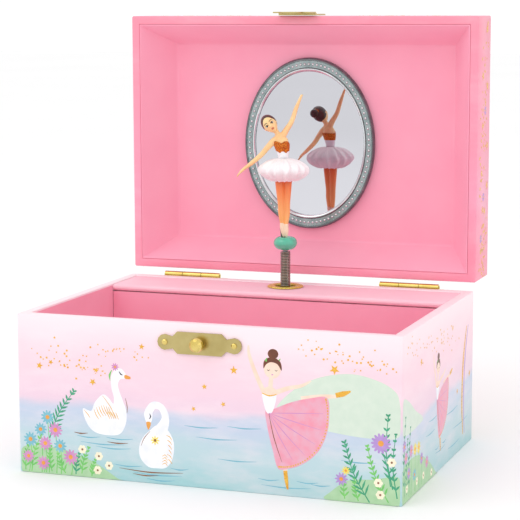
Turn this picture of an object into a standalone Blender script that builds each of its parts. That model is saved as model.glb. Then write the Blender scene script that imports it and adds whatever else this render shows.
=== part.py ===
"""Ballerina musical jewellery box, lid open, modelled in metres with +Z up.

The origin is on the underside, at the middle of the base box. +X is to the right of a viewer
who faces the open box, and +Y runs from the viewer towards the hinges.
"""

import math

import bmesh
import bpy
from mathutils import Matrix

MM = 0.001

# Casework
BOX_WIDTH = 160 * MM
BOX_DEPTH = 114 * MM
BOX_HEIGHT = 65 * MM
WALL = 4.3 * MM
BOTTOM = 3 * MM
GAP = 0.3 * MM
EDGE = 0.4 * MM
PARTITION_FRONT = 25.8 * MM
PARTITION = 2.5 * MM
SHELF_FRONT = 25.5 * MM
SHELF_TOP = 64.6 * MM
SHELF = 2.6 * MM
PAD = 1.5 * MM
KEY_HOLE_R = 2.6 * MM
SPINDLE_HOLE_R = 5 * MM

# Lid, standing open
HINGE_Y = 59.9 * MM
HINGE_Z = 65.15 * MM
LID_LOW = 68.05 * MM
LID_RIM = 60.05 * MM
LID_DEPTH = 23 * MM
LID_BOARD = 3.3 * MM
LID_WALL = 3.7 * MM
LID_PANEL = 0.8 * MM
LINING_RIM = 0.6 * MM
LINING_SIDE = 10.8 * MM
LINING_END = 9 * MM

# Fittings sit a little left of the middle
FITTINGS_X = -1.1 * MM
HINGE_X = (-51.3 * MM, 50.6 * MM)
HINGE_LENGTH = 26.4 * MM
CLASP_Z = 57.4 * MM
CLASP_FACE = 0.6 * MM
KNOB_R = 2.9 * MM
HASP_WIDTH = 17 * MM
HASP = 0.6 * MM
HASP_JOGGLE = 0.95 * MM
MIRROR_STRETCH = 1.262

# Doll, its spring and the bends of the spring
SPINDLE_Y = 44 * MM
BEND_LOW = SHELF_TOP + 2 * MM
BEND_HIGH = SHELF_TOP + 14 * MM
SPRING_R = 1.9 * MM
SPRING_WIRE = 0.35 * MM
SPRING_TURNS = 12
SPRING_FOOT = SHELF_TOP + 0.3 * MM
SPRING_HEAD = SHELF_TOP + 15.6 * MM
PEG_LOW = SHELF_TOP + 13 * MM
PEG_LENGTH = 3.1 * MM
PEG_R = 1.2 * MM
SKIRT_ACROSS = -0.7 * MM
BEAD_LOW = SHELF_TOP + 16.4 * MM
DOLL_TURN = math.radians(19.9)

# Musical movement
BARREL_Z = 32 * MM
CROWN_TEETH = 48
CROWN_R = 11.5 * MM
CROWN_FACE = 40.25 * MM
CROWN_TOOTH = 1.2 * MM
PINION_TEETH = 12
PINION_ROOT = 2.3 * MM
PINION_TIP = 3.15 * MM
WHEEL_TEETH = 24
GOVERNOR_TEETH = 12
MODULE = 0.4 * MM
WORM_TEETH = 16
GOVERNOR_DROP = (WHEEL_TEETH + GOVERNOR_TEETH) / 2 * MODULE
WORM_X = 43 * MM
WORM_R = 1.2 * MM
WORM_Y = SPINDLE_Y - WORM_TEETH / 2 * MODULE - WORM_R
THREAD_R = 1.15 * MM
THREAD = 0.28 * MM
FAN_REACH = 4.7 * MM
FAN_SHEET = 0.5 * MM
FAN_LOW = 34.2 * MM
FAN_HIGH = 38.8 * MM
BEDPLATE_FRONT = 50.9 * MM
BEDPLATE_TOP = 56.3 * MM


# Winding arbor and the butterfly key on its end
ARBOR_FRONT = 30.4 * MM
ARBOR_BACK = 66 * MM
ARBOR_R = 1.5 * MM
HUB_FRONT = 58 * MM
HUB = 11 * MM
HUB_R = 3.2 * MM
WING = 1.6 * MM
WING_Y = 68 * MM
WING_REACH = 7.2 * MM
WING_R = 5.4 * MM
WING_HOLE_R = 2.6 * MM
WING_FLAT = 0.8

# Stop wire: its upright end under the lid, and the end that reaches the fan
STOP_X = -5.2 * MM
STOP_Y = 54.85 * MM
STOP_R = 0.8 * MM
STOP_BORE_R = 1.1 * MM
STOP_GROOVE = 1.3 * MM
STOP_GROOVE_LOW = 54 * MM
STOP_GROOVE_HIGH = 61 * MM
STOP_TRAVEL = 2.5 * MM
STOP_BEND = 0.8 * MM
STOP_RUN_Y = 49.6 * MM
STOP_RUN_Z = 60.2 * MM
STOP_END = (46.2 * MM, 42.4 * MM)
STOP_END_Z = 39.8 * MM

# How far a cutter runs past the faces it cuts
PROUD = 1 * MM

ROUND = 24

# Colour, roughness, metallic
PINK = ((0.93, 0.52, 0.60), 0.6, 0.0)
DEEP_PINK = ((0.85, 0.33, 0.43), 0.7, 0.0)
PAPER = ((0.90, 0.72, 0.82), 0.45, 0.0)
BRASS = ((0.80, 0.66, 0.30), 0.3, 1.0)
STEEL = ((0.62, 0.63, 0.65), 0.35, 1.0)
SILVER = ((0.75, 0.77, 0.78), 0.25, 1.0)
GLASS = ((0.82, 0.83, 0.86), 0.03, 1.0)
GREEN = ((0.05, 0.42, 0.38), 0.35, 0.0)
SKIN = ((0.95, 0.72, 0.50), 0.45, 0.0)
TULLE = ((0.96, 0.95, 0.96), 0.9, 0.0)


def clear_scene():
    for obj in list(bpy.data.objects):
        bpy.data.objects.remove(obj, do_unlink=True)


def new_collection(name):
    collection = bpy.data.collections.new(name)
    bpy.context.scene.collection.children.link(collection)
    return collection


clear_scene()
PARTS = new_collection("ballerina_jewellery_box")
CUTTERS = new_collection("cutters")


def material(name, look):
    colour, roughness, metallic = look
    made = bpy.data.materials.new(name)
    made.use_nodes = True
    shader = made.node_tree.nodes["Principled BSDF"]
    shader.inputs["Base Color"].default_value = (*colour, 1.0)
    shader.inputs["Roughness"].default_value = roughness
    shader.inputs["Metallic"].default_value = metallic
    return made


def finish_part(obj, look, parent=None):
    """Files the object with the parts, gives it its own material and hangs it on its pivot."""
    obj.data.materials.clear()
    obj.data.materials.append(material(obj.name, look))
    for collection in list(obj.users_collection):
        collection.objects.unlink(obj)
    PARTS.objects.link(obj)
    if parent:
        obj.parent = parent
        obj.matrix_parent_inverse = Matrix.Translation(-parent.location)
    return obj


def finish_cutter(obj):
    obj.hide_render = True
    obj.display_type = "WIRE"
    for collection in list(obj.users_collection):
        collection.objects.unlink(obj)
    CUTTERS.objects.link(obj)
    return obj


def pivot(name, location):
    empty = bpy.data.objects.new(name, None)
    empty.location = location
    PARTS.objects.link(empty)
    return empty


def object_from(name, bm):
    mesh = bpy.data.meshes.new(name)
    bm.to_mesh(mesh)
    bm.free()
    obj = bpy.data.objects.new(name, mesh)
    bpy.context.scene.collection.objects.link(obj)
    return obj


def block(name, low, high, edge=0.0):
    """A box between two corners, with its edges eased by a Bevel."""
    bm = bmesh.new()
    bmesh.ops.create_cube(bm, size=1)
    size = [b - a for a, b in zip(low, high)]
    middle = [(a + b) / 2 for a, b in zip(low, high)]
    bmesh.ops.scale(bm, vec=size, verts=bm.verts)
    obj = object_from(name, bm)
    obj.location = middle
    if edge:
        bevel = obj.modifiers.new("eased_edges", "BEVEL")
        bevel.width = edge
        bevel.segments = 1
    return obj


AXIS_TURN = {
    "X": Matrix.Rotation(math.radians(90), 4, "Y"),
    "Y": Matrix.Rotation(math.radians(-90), 4, "X"),
    "Z": Matrix.Identity(4),
}


def rod(name, start, axis, length, radius, sides=ROUND):
    """A cylinder that starts at a point and runs along +X, +Y or +Z."""
    bm = bmesh.new()
    bmesh.ops.create_cone(
        bm, cap_ends=True, segments=sides, radius1=radius, radius2=radius, depth=length
    )
    bmesh.ops.translate(bm, vec=(0, 0, length / 2), verts=bm.verts)
    bmesh.ops.transform(bm, matrix=AXIS_TURN[axis], verts=bm.verts)
    obj = object_from(name, bm)
    obj.location = start
    shade_round(obj)
    return obj


def shade_round(obj):
    obj.data.shade_smooth()
    obj.data.set_sharp_from_angle(angle=math.radians(35))


def turned(name, profile, axis, centre, sides=ROUND):
    """A turned shape: (radius, height) points, top to bottom down the outer side."""
    mesh = bpy.data.meshes.new(name)
    closed = profile[0] == profile[-1]
    points = profile[:-1] if closed else profile
    edges = [(i, i + 1) for i in range(len(points) - 1)]
    if closed:
        edges.append((len(points) - 1, 0))
    mesh.from_pydata([(r, 0, z) for r, z in points], edges, [])
    obj = bpy.data.objects.new(name, mesh)
    bpy.context.scene.collection.objects.link(obj)
    screw = obj.modifiers.new("turn", "SCREW")
    screw.steps = sides
    screw.render_steps = sides
    screw.use_merge_vertices = True
    screw.merge_threshold = 0.00001
    obj.matrix_world = Matrix.Translation(centre) @ AXIS_TURN[axis]
    return obj


def to_mesh(obj):
    """The evaluated shape as a plain mesh in world space, with its caps welded."""
    bpy.context.view_layer.update()
    graph = bpy.context.evaluated_depsgraph_get()
    mesh = bpy.data.meshes.new_from_object(obj.evaluated_get(graph))
    mesh.transform(obj.matrix_world)
    name = obj.name
    bpy.data.objects.remove(obj, do_unlink=True)
    bm = bmesh.new()
    bm.from_mesh(mesh)
    bmesh.ops.remove_doubles(bm, verts=bm.verts, dist=0.000002)
    bmesh.ops.recalc_face_normals(bm, faces=bm.faces)
    bm.to_mesh(mesh)
    bm.free()
    mesh.name = name
    solid = bpy.data.objects.new(name, mesh)
    bpy.context.scene.collection.objects.link(solid)
    return solid


def outline(name, loops, thickness, axis, centre):
    """A flat outline with its holes, extruded to a thickness about its middle plane."""
    curve = bpy.data.curves.new(name, "CURVE")
    curve.dimensions = "2D"
    curve.fill_mode = "BOTH"
    curve.extrude = thickness / 2
    for loop in loops:
        spline = curve.splines.new("POLY")
        spline.points.add(len(loop) - 1)
        for point, (u, v) in zip(spline.points, loop):
            point.co = (u, v, 0, 1)
        spline.use_cyclic_u = True
    obj = bpy.data.objects.new(name, curve)
    bpy.context.scene.collection.objects.link(obj)
    obj.matrix_world = Matrix.Translation(centre) @ AXIS_TURN[axis]
    return to_mesh(obj)


def wire(name, points, radius, resolution=2):
    """A round wire along a list of points, with filled ends."""
    curve = bpy.data.curves.new(name, "CURVE")
    curve.dimensions = "3D"
    curve.bevel_depth = radius
    curve.bevel_resolution = resolution
    curve.use_fill_caps = True
    spline = curve.splines.new("POLY")
    spline.points.add(len(points) - 1)
    for point, place in zip(spline.points, points):
        point.co = (*place, 1)
    obj = bpy.data.objects.new(name, curve)
    bpy.context.scene.collection.objects.link(obj)
    return to_mesh(obj)


def boolean(obj, other, operation):
    modifier = obj.modifiers.new(other.name, "BOOLEAN")
    modifier.operation = operation
    modifier.object = other
    finish_cutter(other)
    return obj


def cut(obj, *cutters):
    for cutter in cutters:
        boolean(obj, cutter, "DIFFERENCE")
    return obj


def join(obj, *others):
    for other in others:
        boolean(obj, other, "UNION")
    return obj


def circle(radius, sides=ROUND, middle=(0, 0)):
    step = 2 * math.pi / sides
    return [
        (middle[0] + radius * math.cos(i * step), middle[1] + radius * math.sin(i * step))
        for i in range(sides)
    ]


def gear_outline(teeth, root, tip, phase=0.0, root_share=0.52, tip_share=0.24):
    """Straight-sided teeth; tooth 0 is centred at angle phase."""
    pitch = 2 * math.pi / teeth
    points = []
    for tooth in range(teeth):
        middle = phase + tooth * pitch
        corners = ((-root_share, root), (-tip_share, tip), (tip_share, tip), (root_share, root))
        for share, radius in corners:
            angle = middle + share * pitch / 2
            points.append((radius * math.cos(angle), radius * math.sin(angle)))
    return points


# Base box ---------------------------------------------------------------------------------------

HALF_W = BOX_WIDTH / 2
HALF_D = BOX_DEPTH / 2
INNER_W = HALF_W - WALL
INNER_D = HALF_D - WALL


def stop_wire_groove():
    """The groove inside the rear wall that the stop wire slides in, open to the movement."""
    low = (STOP_X - STOP_GROOVE, INNER_D - PROUD, STOP_GROOVE_LOW)
    high = (STOP_X + STOP_GROOVE, STOP_Y + STOP_GROOVE, STOP_GROOVE_HIGH)
    return block("cut_stop_groove", low, high)


def base_box():
    front = block("base_front_wall", (-HALF_W, -HALF_D, 0), (HALF_W, -INNER_D, BOX_HEIGHT), EDGE)
    finish_part(front, PAPER)

    rear = block("base_rear_wall", (-HALF_W, INNER_D, 0), (HALF_W, HALF_D, BOX_HEIGHT), EDGE)
    key_start = (FITTINGS_X, INNER_D - PROUD, BARREL_Z)
    key_hole = rod("cut_key_hole", key_start, "Y", WALL + 2 * PROUD, KEY_HOLE_R)
    stop_bore_low = STOP_GROOVE_HIGH - 3 * MM
    stop_bore_length = BOX_HEIGHT + PROUD - stop_bore_low
    stop_bore = rod(
        "cut_stop_bore", (STOP_X, STOP_Y, stop_bore_low), "Z", stop_bore_length, STOP_BORE_R
    )
    cut(rear, key_hole, stop_wire_groove(), stop_bore)
    finish_part(rear, PAPER)

    for name, side in (("base_left_wall", -1), ("base_right_wall", 1)):
        edges = sorted((side * HALF_W, side * INNER_W))
        low = (edges[0], -INNER_D + GAP, 0)
        high = (edges[1], INNER_D - GAP, BOX_HEIGHT)
        finish_part(block(name, low, high, EDGE), PAPER)

    low = (-INNER_W + GAP, -INNER_D + GAP, 0)
    high = (INNER_W - GAP, INNER_D - GAP, BOTTOM)
    finish_part(block("bottom_board", low, high), PAPER)

    low = (-INNER_W + GAP, PARTITION_FRONT, BOTTOM + GAP)
    high = (INNER_W - GAP, PARTITION_FRONT + PARTITION, SHELF_TOP - SHELF - GAP)
    finish_part(block("partition", low, high), DEEP_PINK)

    low = (-INNER_W + GAP, -INNER_D + GAP, BOTTOM + GAP)
    high = (INNER_W - GAP, PARTITION_FRONT - GAP, BOTTOM + GAP + PAD)
    finish_part(block("compartment_lining", low, high), DEEP_PINK)


# Radius and height over the shelf, in millimetres
EYELET_PROFILE = (
    (7.9, 0.45), (7.6, 0.75), (6.6, 0.9), (5.2, 0.8), (4.5, 0.4), (4.5, -3.4),
    (4.8, -3.4), (4.8, 0.3), (7.9, 0.3), (7.9, 0.45),
)


def movement_shelf():
    """The shelf over the movement: a flat board with a half-round front edge."""
    half = SHELF / 2
    back = INNER_D - GAP
    nose = SHELF_FRONT + half
    arc = [math.radians(90 + 30 * i) for i in range(7)]
    loop = [(nose + half * math.cos(a), half * math.sin(a)) for a in arc]
    loop += [(back, -half), (back, half)]
    # The outline lies in local XY, which the X axis turn maps to -Z and Y.
    turned_loop = [(-v, u) for u, v in loop]
    centre = (0, 0, SHELF_TOP - half)
    shelf = outline("movement_shelf", [turned_loop], 2 * (INNER_W - GAP), "X", centre)
    hole_start = (FITTINGS_X, SPINDLE_Y, SHELF_TOP - SHELF - PROUD)
    hole = rod("cut_spindle_hole", hole_start, "Z", SHELF + 2 * PROUD, SPINDLE_HOLE_R)
    finish_part(cut(shelf, hole), PINK)

    profile = [(r * MM, z * MM) for r, z in reversed(EYELET_PROFILE)]
    eyelet = turned("brass_eyelet", profile, "Z", (FITTINGS_X, SPINDLE_Y, SHELF_TOP), 32)
    finish_part(to_mesh(eyelet), BRASS)


# Lid --------------------------------------------------------------------------------------------

LID_HIGH = LID_LOW + BOX_DEPTH
LID_BACK = LID_RIM + LID_DEPTH
BOARD_FRONT = LID_BACK - LID_BOARD
PANEL_FRONT = BOARD_FRONT - GAP - LID_PANEL
LID_MIDDLE = (LID_LOW + LID_HIGH) / 2


def lid(hinge):
    board = block("lid_board", (-HALF_W, BOARD_FRONT, LID_LOW), (HALF_W, LID_BACK, LID_HIGH), EDGE)
    finish_part(board, PAPER, hinge)

    wall_back = BOARD_FRONT - GAP
    low = (-HALF_W, LID_RIM, LID_HIGH - LID_WALL)
    high = (HALF_W, wall_back, LID_HIGH)
    finish_part(block("lid_front_wall", low, high, EDGE), PAPER, hinge)
    low = (-HALF_W, LID_RIM, LID_LOW)
    high = (HALF_W, wall_back, LID_LOW + LID_WALL)
    finish_part(block("lid_rear_wall", low, high, EDGE), PAPER, hinge)
    for name, side in (("lid_left_wall", -1), ("lid_right_wall", 1)):
        edges = sorted((side * HALF_W, side * (HALF_W - LID_WALL)))
        low = (edges[0], LID_RIM, LID_LOW + LID_WALL + GAP)
        high = (edges[1], wall_back, LID_HIGH - LID_WALL - GAP)
        finish_part(block(name, low, high, EDGE), PAPER, hinge)

    half_u = HALF_W - LID_WALL - GAP
    half_v = BOX_DEPTH / 2 - LID_WALL - GAP
    low = (-half_u, PANEL_FRONT, LID_MIDDLE - half_v)
    high = (half_u, PANEL_FRONT + LID_PANEL, LID_MIDDLE + half_v)
    finish_part(block("lid_panel", low, high), PINK, hinge)

    for name, side in (("lid_lining_left", -1), ("lid_lining_right", 1)):
        piece = lining(name, half_u, half_v, LINING_SIDE, LINING_END, side, False)
        finish_part(piece, PINK, hinge)
    for name, side in (("lid_lining_rear", -1), ("lid_lining_front", 1)):
        piece = lining(name, half_v, half_u, LINING_END, LINING_SIDE, side, True)
        finish_part(piece, PINK, hinge)


def lining(name, outer, span, slope, end_slope, side, upright):
    """A wedge of the sloping lid lining, mitred to its neighbours with a small gap.

    outer is its distance from the lid's middle, span half its length there, slope how far its
    foot at the panel reaches inwards, and end_slope how far its neighbours' feet do.
    """
    rim = LID_RIM + GAP
    foot = PANEL_FRONT - GAP
    bm = bmesh.new()
    bmesh.ops.create_cube(bm, size=2)
    for vert in bm.verts:
        across, depth, along = vert.co
        reach = LINING_RIM if depth < 0 else slope
        mitre = LINING_RIM if depth < 0 else end_slope
        inner = across < 0
        u = outer - (reach if inner else 0)
        v = span - (mitre if inner else 0) - GAP
        y = rim if depth < 0 else foot
        vert.co = (side * u, y, v * along)
        if upright:
            vert.co = (v * along, y, side * u)
    bmesh.ops.translate(bm, vec=(0, 0, LID_MIDDLE), verts=bm.verts)
    bmesh.ops.recalc_face_normals(bm, faces=bm.faces)
    return object_from(name, bm)


# Radius and height in front of the panel, in millimetres
GLASS_PROFILE = ((0, 0), (27, 0), (27, -1.2), (0, -1.2))
FRAME_PROFILE = (
    (30.5, 0), (27.4, 0), (27.4, -1.5), (25.5, -1.5), (25.5, -2.0), (26.6, -2.5),
    (29.2, -2.7), (30.3, -2.1), (30.5, 0),
)


def mirror(hinge):
    """An oval glass held to the lid panel by the rebate of its frame."""
    back = PANEL_FRONT - GAP
    middle = (FITTINGS_X, back, LID_MIDDLE)
    for name, profile, look in (
        ("mirror_glass", GLASS_PROFILE, GLASS),
        ("mirror_frame", FRAME_PROFILE, SILVER),
    ):
        points = [(r * MM, z * MM) for r, z in profile]
        shape = turned(name, points, "Y", middle, 48)
        shape.scale = (1, MIRROR_STRETCH, 1)
        finish_part(to_mesh(shape), look, hinge)


# Hinges -----------------------------------------------------------------------------------------

KNUCKLE_R = 1.45 * MM
PIN_R = 0.55 * MM
LEAF = 0.6 * MM
LEAF_END = 10 * MM
WEB_END = 2.85 * MM
KNUCKLE_GAP = 0.25 * MM
PIN_HEAD = 0.4 * MM
WELD = 0.1 * MM


def hinge_leaf(name, knuckles, length, folded):
    """A leaf with its knuckles on the hinge axis; folded is the lid's leaf in the open pose."""
    place = {
        False: lambda u, v: (u, v),
        True: lambda u, v: (-v, u),
    }[folded]

    def piece(part, x0, x1, u0, u1, v0, v1):
        (ya, za), (yb, zb) = place(u0, v0), place(u1, v1)
        low = (x0, HINGE_Y + min(ya, yb), HINGE_Z + min(za, zb))
        high = (x1, HINGE_Y + max(ya, yb), HINGE_Z + max(za, zb))
        return block(f"{name}_{part}", low, high)

    plate_u = (-WEB_END, -WEB_END + LEAF)
    web_u = (-WEB_END + WELD, WELD - PIN_R)
    rise = (-KNUCKLE_R, -KNUCKLE_R + LEAF)
    full = piece("plate", *length, *plate_u, -LEAF_END, rise[1])
    full.name = name
    for number, (x0, x1) in enumerate(knuckles):
        web = piece(f"web{number}", x0, x1, *web_u, *rise)
        tube = rod(f"{name}_tube{number}", (x0, HINGE_Y, HINGE_Z), "X", x1 - x0, KNUCKLE_R, 16)
        join(full, web, tube)
    bore_start = (length[0] - PROUD, HINGE_Y, HINGE_Z)
    span = length[1] - length[0] + 2 * PROUD
    cut(full, rod(f"{name}_bore", bore_start, "X", span, PIN_R + 0.1 * MM, 12))
    return full


def hinges(hinge):
    for side, middle in zip(("left", "right"), HINGE_X):
        start = middle - HINGE_LENGTH / 2
        end = middle + HINGE_LENGTH / 2
        third = HINGE_LENGTH / 3
        outer = [(start, start + third - KNUCKLE_GAP), (end - third + KNUCKLE_GAP, end)]
        inner = [(start + third, end - third)]
        base = hinge_leaf(f"hinge_{side}_base_leaf", outer, (start, end), False)
        finish_part(base, BRASS)
        leaf = hinge_leaf(f"hinge_{side}_lid_leaf", inner, (start, end), True)
        finish_part(leaf, BRASS, hinge)
        pin_start = (start - PIN_HEAD, HINGE_Y, HINGE_Z)
        pin = rod(f"hinge_{side}_pin", pin_start, "X", HINGE_LENGTH + 2 * PIN_HEAD, PIN_R, 12)
        finish_part(pin, BRASS)


# Clasp ------------------------------------------------------------------------------------------

PLATE_BACK = -HALF_D - GAP
RIVET_SPREAD = 14.4 * MM


def clasp_outline():
    """A rectangular middle with sloped shoulders and a round lobe at each end."""
    body = 9.2 * MM
    neck = 11.2 * MM
    half = 4.35 * MM
    lobe = 3.1 * MM
    right = [(body, -half), (neck, -lobe * 0.75)]
    for step in range(-3, 4):
        angle = math.radians(step * 30)
        right.append((RIVET_SPREAD + lobe * math.cos(angle), lobe * math.sin(angle)))
    right += [(neck, lobe * 0.75), (body, half)]
    left = [(-u, -v) for u, v in right]
    return right + left


def clasp(hinge):
    middle = (FITTINGS_X, PLATE_BACK - CLASP_FACE / 2, CLASP_Z)
    # The outline's Y axis turn maps local Y to -Z, and this shape is the same either way up.
    plate = outline("clasp_plate", [clasp_outline(), circle(1.4 * MM, 16)], CLASP_FACE, "Y", middle)
    finish_part(plate, BRASS)
    front = PLATE_BACK - CLASP_FACE
    knob_profile = [
        (0, 0), (1.1, 0), (1.1, -0.9), (1.8, -0.9), (1.8, -1.6), (2.6, -2.3), (2.9, -3.4),
        (2.6, -4.5), (1.7, -5.3), (0, -5.6),
    ]
    points = [(r * MM, z * MM) for r, z in knob_profile]
    knob = turned("clasp_knob", points, "Y", (FITTINGS_X, PLATE_BACK, CLASP_Z), 20)
    finish_part(to_mesh(knob), BRASS)
    for side, sign in (("left", -1), ("right", 1)):
        x = FITTINGS_X + sign * RIVET_SPREAD
        finish_part(rivet(f"clasp_rivet_{side}", (x, front, CLASP_Z), "Y", -1), BRASS)

    top = LID_HIGH + GAP
    plate_back = LID_RIM + 14 * MM
    lip = LID_RIM - 0.2 * MM
    reach = HINGE_Y - (HINGE_Z - CLASP_Z)
    half = HASP_WIDTH / 2
    hasp = block(
        "hasp", (FITTINGS_X - half, lip, top), (FITTINGS_X + half, plate_back, top + HASP)
    )
    step = block(
        "hasp_step",
        (FITTINGS_X - half, lip - 0.1 * MM, top),
        (FITTINGS_X + half, lip + HASP, top + HASP_JOGGLE + HASP),
    )
    tongue_z = top + HASP_JOGGLE
    tongue = block(
        "hasp_tongue",
        (FITTINGS_X - half, reach, tongue_z),
        (FITTINGS_X + half, lip + HASP - 0.1 * MM, tongue_z + HASP),
    )
    nose = rod("hasp_nose", (FITTINGS_X, reach, tongue_z), "Z", HASP, 5.2 * MM, 28)
    hole_start = (FITTINGS_X, reach, tongue_z - 1 * MM)
    hole = rod("cut_hasp_hole", hole_start, "Z", 3 * MM, KNOB_R + 0.3 * MM, 24)
    join(hasp, step, tongue, nose)
    cut(hasp, hole)
    finish_part(hasp, BRASS, hinge)
    for side, sign in (("left", -1), ("right", 1)):
        place = (FITTINGS_X + sign * 5.2 * MM, LID_RIM + 8 * MM, top + HASP)
        finish_part(rivet(f"hasp_rivet_{side}", place, "Z", 1), BRASS, hinge)


def rivet(name, place, axis, outward):
    """A domed rivet head that sits on a face, a hair clear of it."""
    lift = 0.05 * MM
    if outward > 0:
        profile = [(0, 0.7), (0.7, 0.6), (1.15, 0.3), (1.2, 0), (0, 0)]
        points = [(r * MM, z * MM + lift) for r, z in profile]
    else:
        profile = [(0, 0), (1.2, 0), (1.15, -0.3), (0.7, -0.6), (0, -0.7)]
        points = [(r * MM, z * MM - lift) for r, z in profile]
    return to_mesh(turned(name, points, axis, place, 12))


# Doll -------------------------------------------------------------------------------------------


def coil(turns, low, high, radius, middle, per_turn):
    steps = turns * per_turn
    points = []
    for i in range(steps + 1):
        angle = 2 * math.pi * i / per_turn
        height = low + (high - low) * i / steps
        x = middle[0] + radius * math.cos(angle)
        y = middle[1] + radius * math.sin(angle)
        points.append((x, y, height))
    return points


# Radius and height over the bead's underside, in millimetres
BEAD_PROFILE = (
    (0, 5.9), (1.9, 5.9), (2.6, 5.6), (4.1, 5.07), (5.2, 3.54), (5.2, 2.48), (4.2, 0.83), (2.4, 0),
    (0, 0),
)
# Radius and height over the table, in millimetres
SKIRT_PROFILE = (
    (4.3, 120.6), (7.6, 120.0), (10.2, 117.6), (10.5, 115.6), (9.2, 113.0), (6.4, 111.4),
    (4.2, 111.6), (4.1, 116.0), (4.3, 120.6),
)
# Joints of the doll: across (to its left hand side as seen), height, radius
DOLL_STICKS = {
    "foot": (-0.4, 87.9, 1.5),
    "ankle": (-0.5, 92.5, 1.7),
    "knee": (-0.6, 101.0, 2.4),
    "hip": (-0.7, 110.0, 2.6),
    "pelvis": (-0.7, 116.0, 2.6),
    "waist": (-0.8, 121.6, 2.1),
    "chest": (-1.5, 126.4, 3.1),
    "collar": (-2.3, 129.3, 2.4),
    "neck": (-3.2, 131.0, 1.1),
    "chin": (-4.8, 133.0, 1.9),
    "head": (-6.9, 135.6, 3.6),
    "crown": (-8.3, 137.2, 2.9),
    "shoulder_up": (0.2, 130.6, 1.4),
    "elbow_up": (2.8, 137.0, 1.05),
    "wrist_up": (5.6, 144.5, 0.75),
    "hand_up": (7.1, 148.2, 0.5),
    "shoulder_low": (-5.2, 128.2, 1.4),
    "elbow_low": (-10.9, 122.2, 1.1),
    "wrist_low": (-18.4, 116.2, 0.8),
    "hand_low": (-21.0, 113.2, 0.5),
}
DOLL_BONES = (
    "foot ankle", "ankle knee", "knee hip", "hip pelvis", "pelvis waist", "waist chest",
    "chest collar", "collar neck", "neck chin", "chin head", "head crown",
    "collar shoulder_up", "shoulder_up elbow_up", "elbow_up wrist_up", "wrist_up hand_up",
    "collar shoulder_low", "shoulder_low elbow_low", "elbow_low wrist_low",
    "wrist_low hand_low",
)


def doll_body():
    """The moulded doll, as a Skin over its sticks, facing the front."""
    names = list(DOLL_STICKS)
    points = []
    for name in names:
        across, height, _ = DOLL_STICKS[name]
        x = across * MM * math.cos(DOLL_TURN)
        y = across * MM * math.sin(DOLL_TURN)
        points.append((x, y, height * MM))
    edges = [tuple(names.index(end) for end in bone.split()) for bone in DOLL_BONES]
    mesh = bpy.data.meshes.new("ballerina_doll")
    mesh.from_pydata(points, edges, [])
    obj = bpy.data.objects.new("ballerina_doll", mesh)
    bpy.context.scene.collection.objects.link(obj)
    obj.modifiers.new("skin", "SKIN")
    layer = mesh.skin_vertices[0]
    for index, name in enumerate(names):
        radius = DOLL_STICKS[name][2] * MM
        layer.data[index].radius = (radius, radius)
    layer.data[names.index("pelvis")].use_root = True
    smooth = obj.modifiers.new("smooth", "SUBSURF")
    smooth.levels = 1
    smooth.render_levels = 1
    obj.location = (FITTINGS_X, SPINDLE_Y, 0)
    return to_mesh(obj)


def doll(lower, upper, figure):
    axis = (FITTINGS_X, SPINDLE_Y)
    points = coil(SPRING_TURNS, SPRING_FOOT, SPRING_HEAD, SPRING_R, axis, 10)
    finish_part(wire("doll_spring", points, SPRING_WIRE), STEEL, lower)

    peg = rod("doll_peg", (*axis, PEG_LOW), "Z", PEG_LENGTH, PEG_R, 12)
    finish_part(peg, STEEL, upper)

    points = [(r * MM, z * MM) for r, z in BEAD_PROFILE]
    bead = turned("doll_bead", points, "Z", (*axis, BEAD_LOW), 24)
    finish_part(to_mesh(bead), GREEN, figure)

    finish_part(doll_body(), SKIN, figure)

    points = [(r * MM, z * MM) for r, z in SKIRT_PROFILE]
    skirt_x = axis[0] + SKIRT_ACROSS * math.cos(DOLL_TURN)
    skirt_y = axis[1] + SKIRT_ACROSS * math.sin(DOLL_TURN)
    skirt = turned("doll_skirt", points, "Z", (skirt_x, skirt_y, 0), 28)
    finish_part(to_mesh(skirt), TULLE, figure)


# Musical movement -------------------------------------------------------------------------------

FRAME_LOW = (36.6 * MM, 34 * MM, 13 * MM)
FRAME_HIGH = (49.4 * MM, BEDPLATE_FRONT - GAP, 43 * MM)
SHEET = 1.2 * MM
CYLINDER_X = 12.6 * MM
CYLINDER_LENGTH = 20.6 * MM
CYLINDER_R = 5.5 * MM
GOVERNOR_Z = BARREL_Z - GOVERNOR_DROP
COMB_TEETH = 18


COMB_TIP = BARREL_Z + CYLINDER_R + 0.75 * MM
COMB_ROOT = COMB_TIP + 13 * MM
COMB_TOP = COMB_ROOT + 4.9 * MM
COMB_PITCH = CYLINDER_LENGTH / (COMB_TEETH + 1)
COMB_LEFT = CYLINDER_X + COMB_PITCH / 2
COMB_RIGHT = COMB_LEFT + COMB_TEETH * COMB_PITCH
COMB_SCREWS = (COMB_LEFT + 3 * COMB_PITCH, COMB_LEFT + 15 * COMB_PITCH)
COMB_SCREW_Z = COMB_ROOT + 2.5 * MM
COMB_HALF = 0.5 * MM


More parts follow.
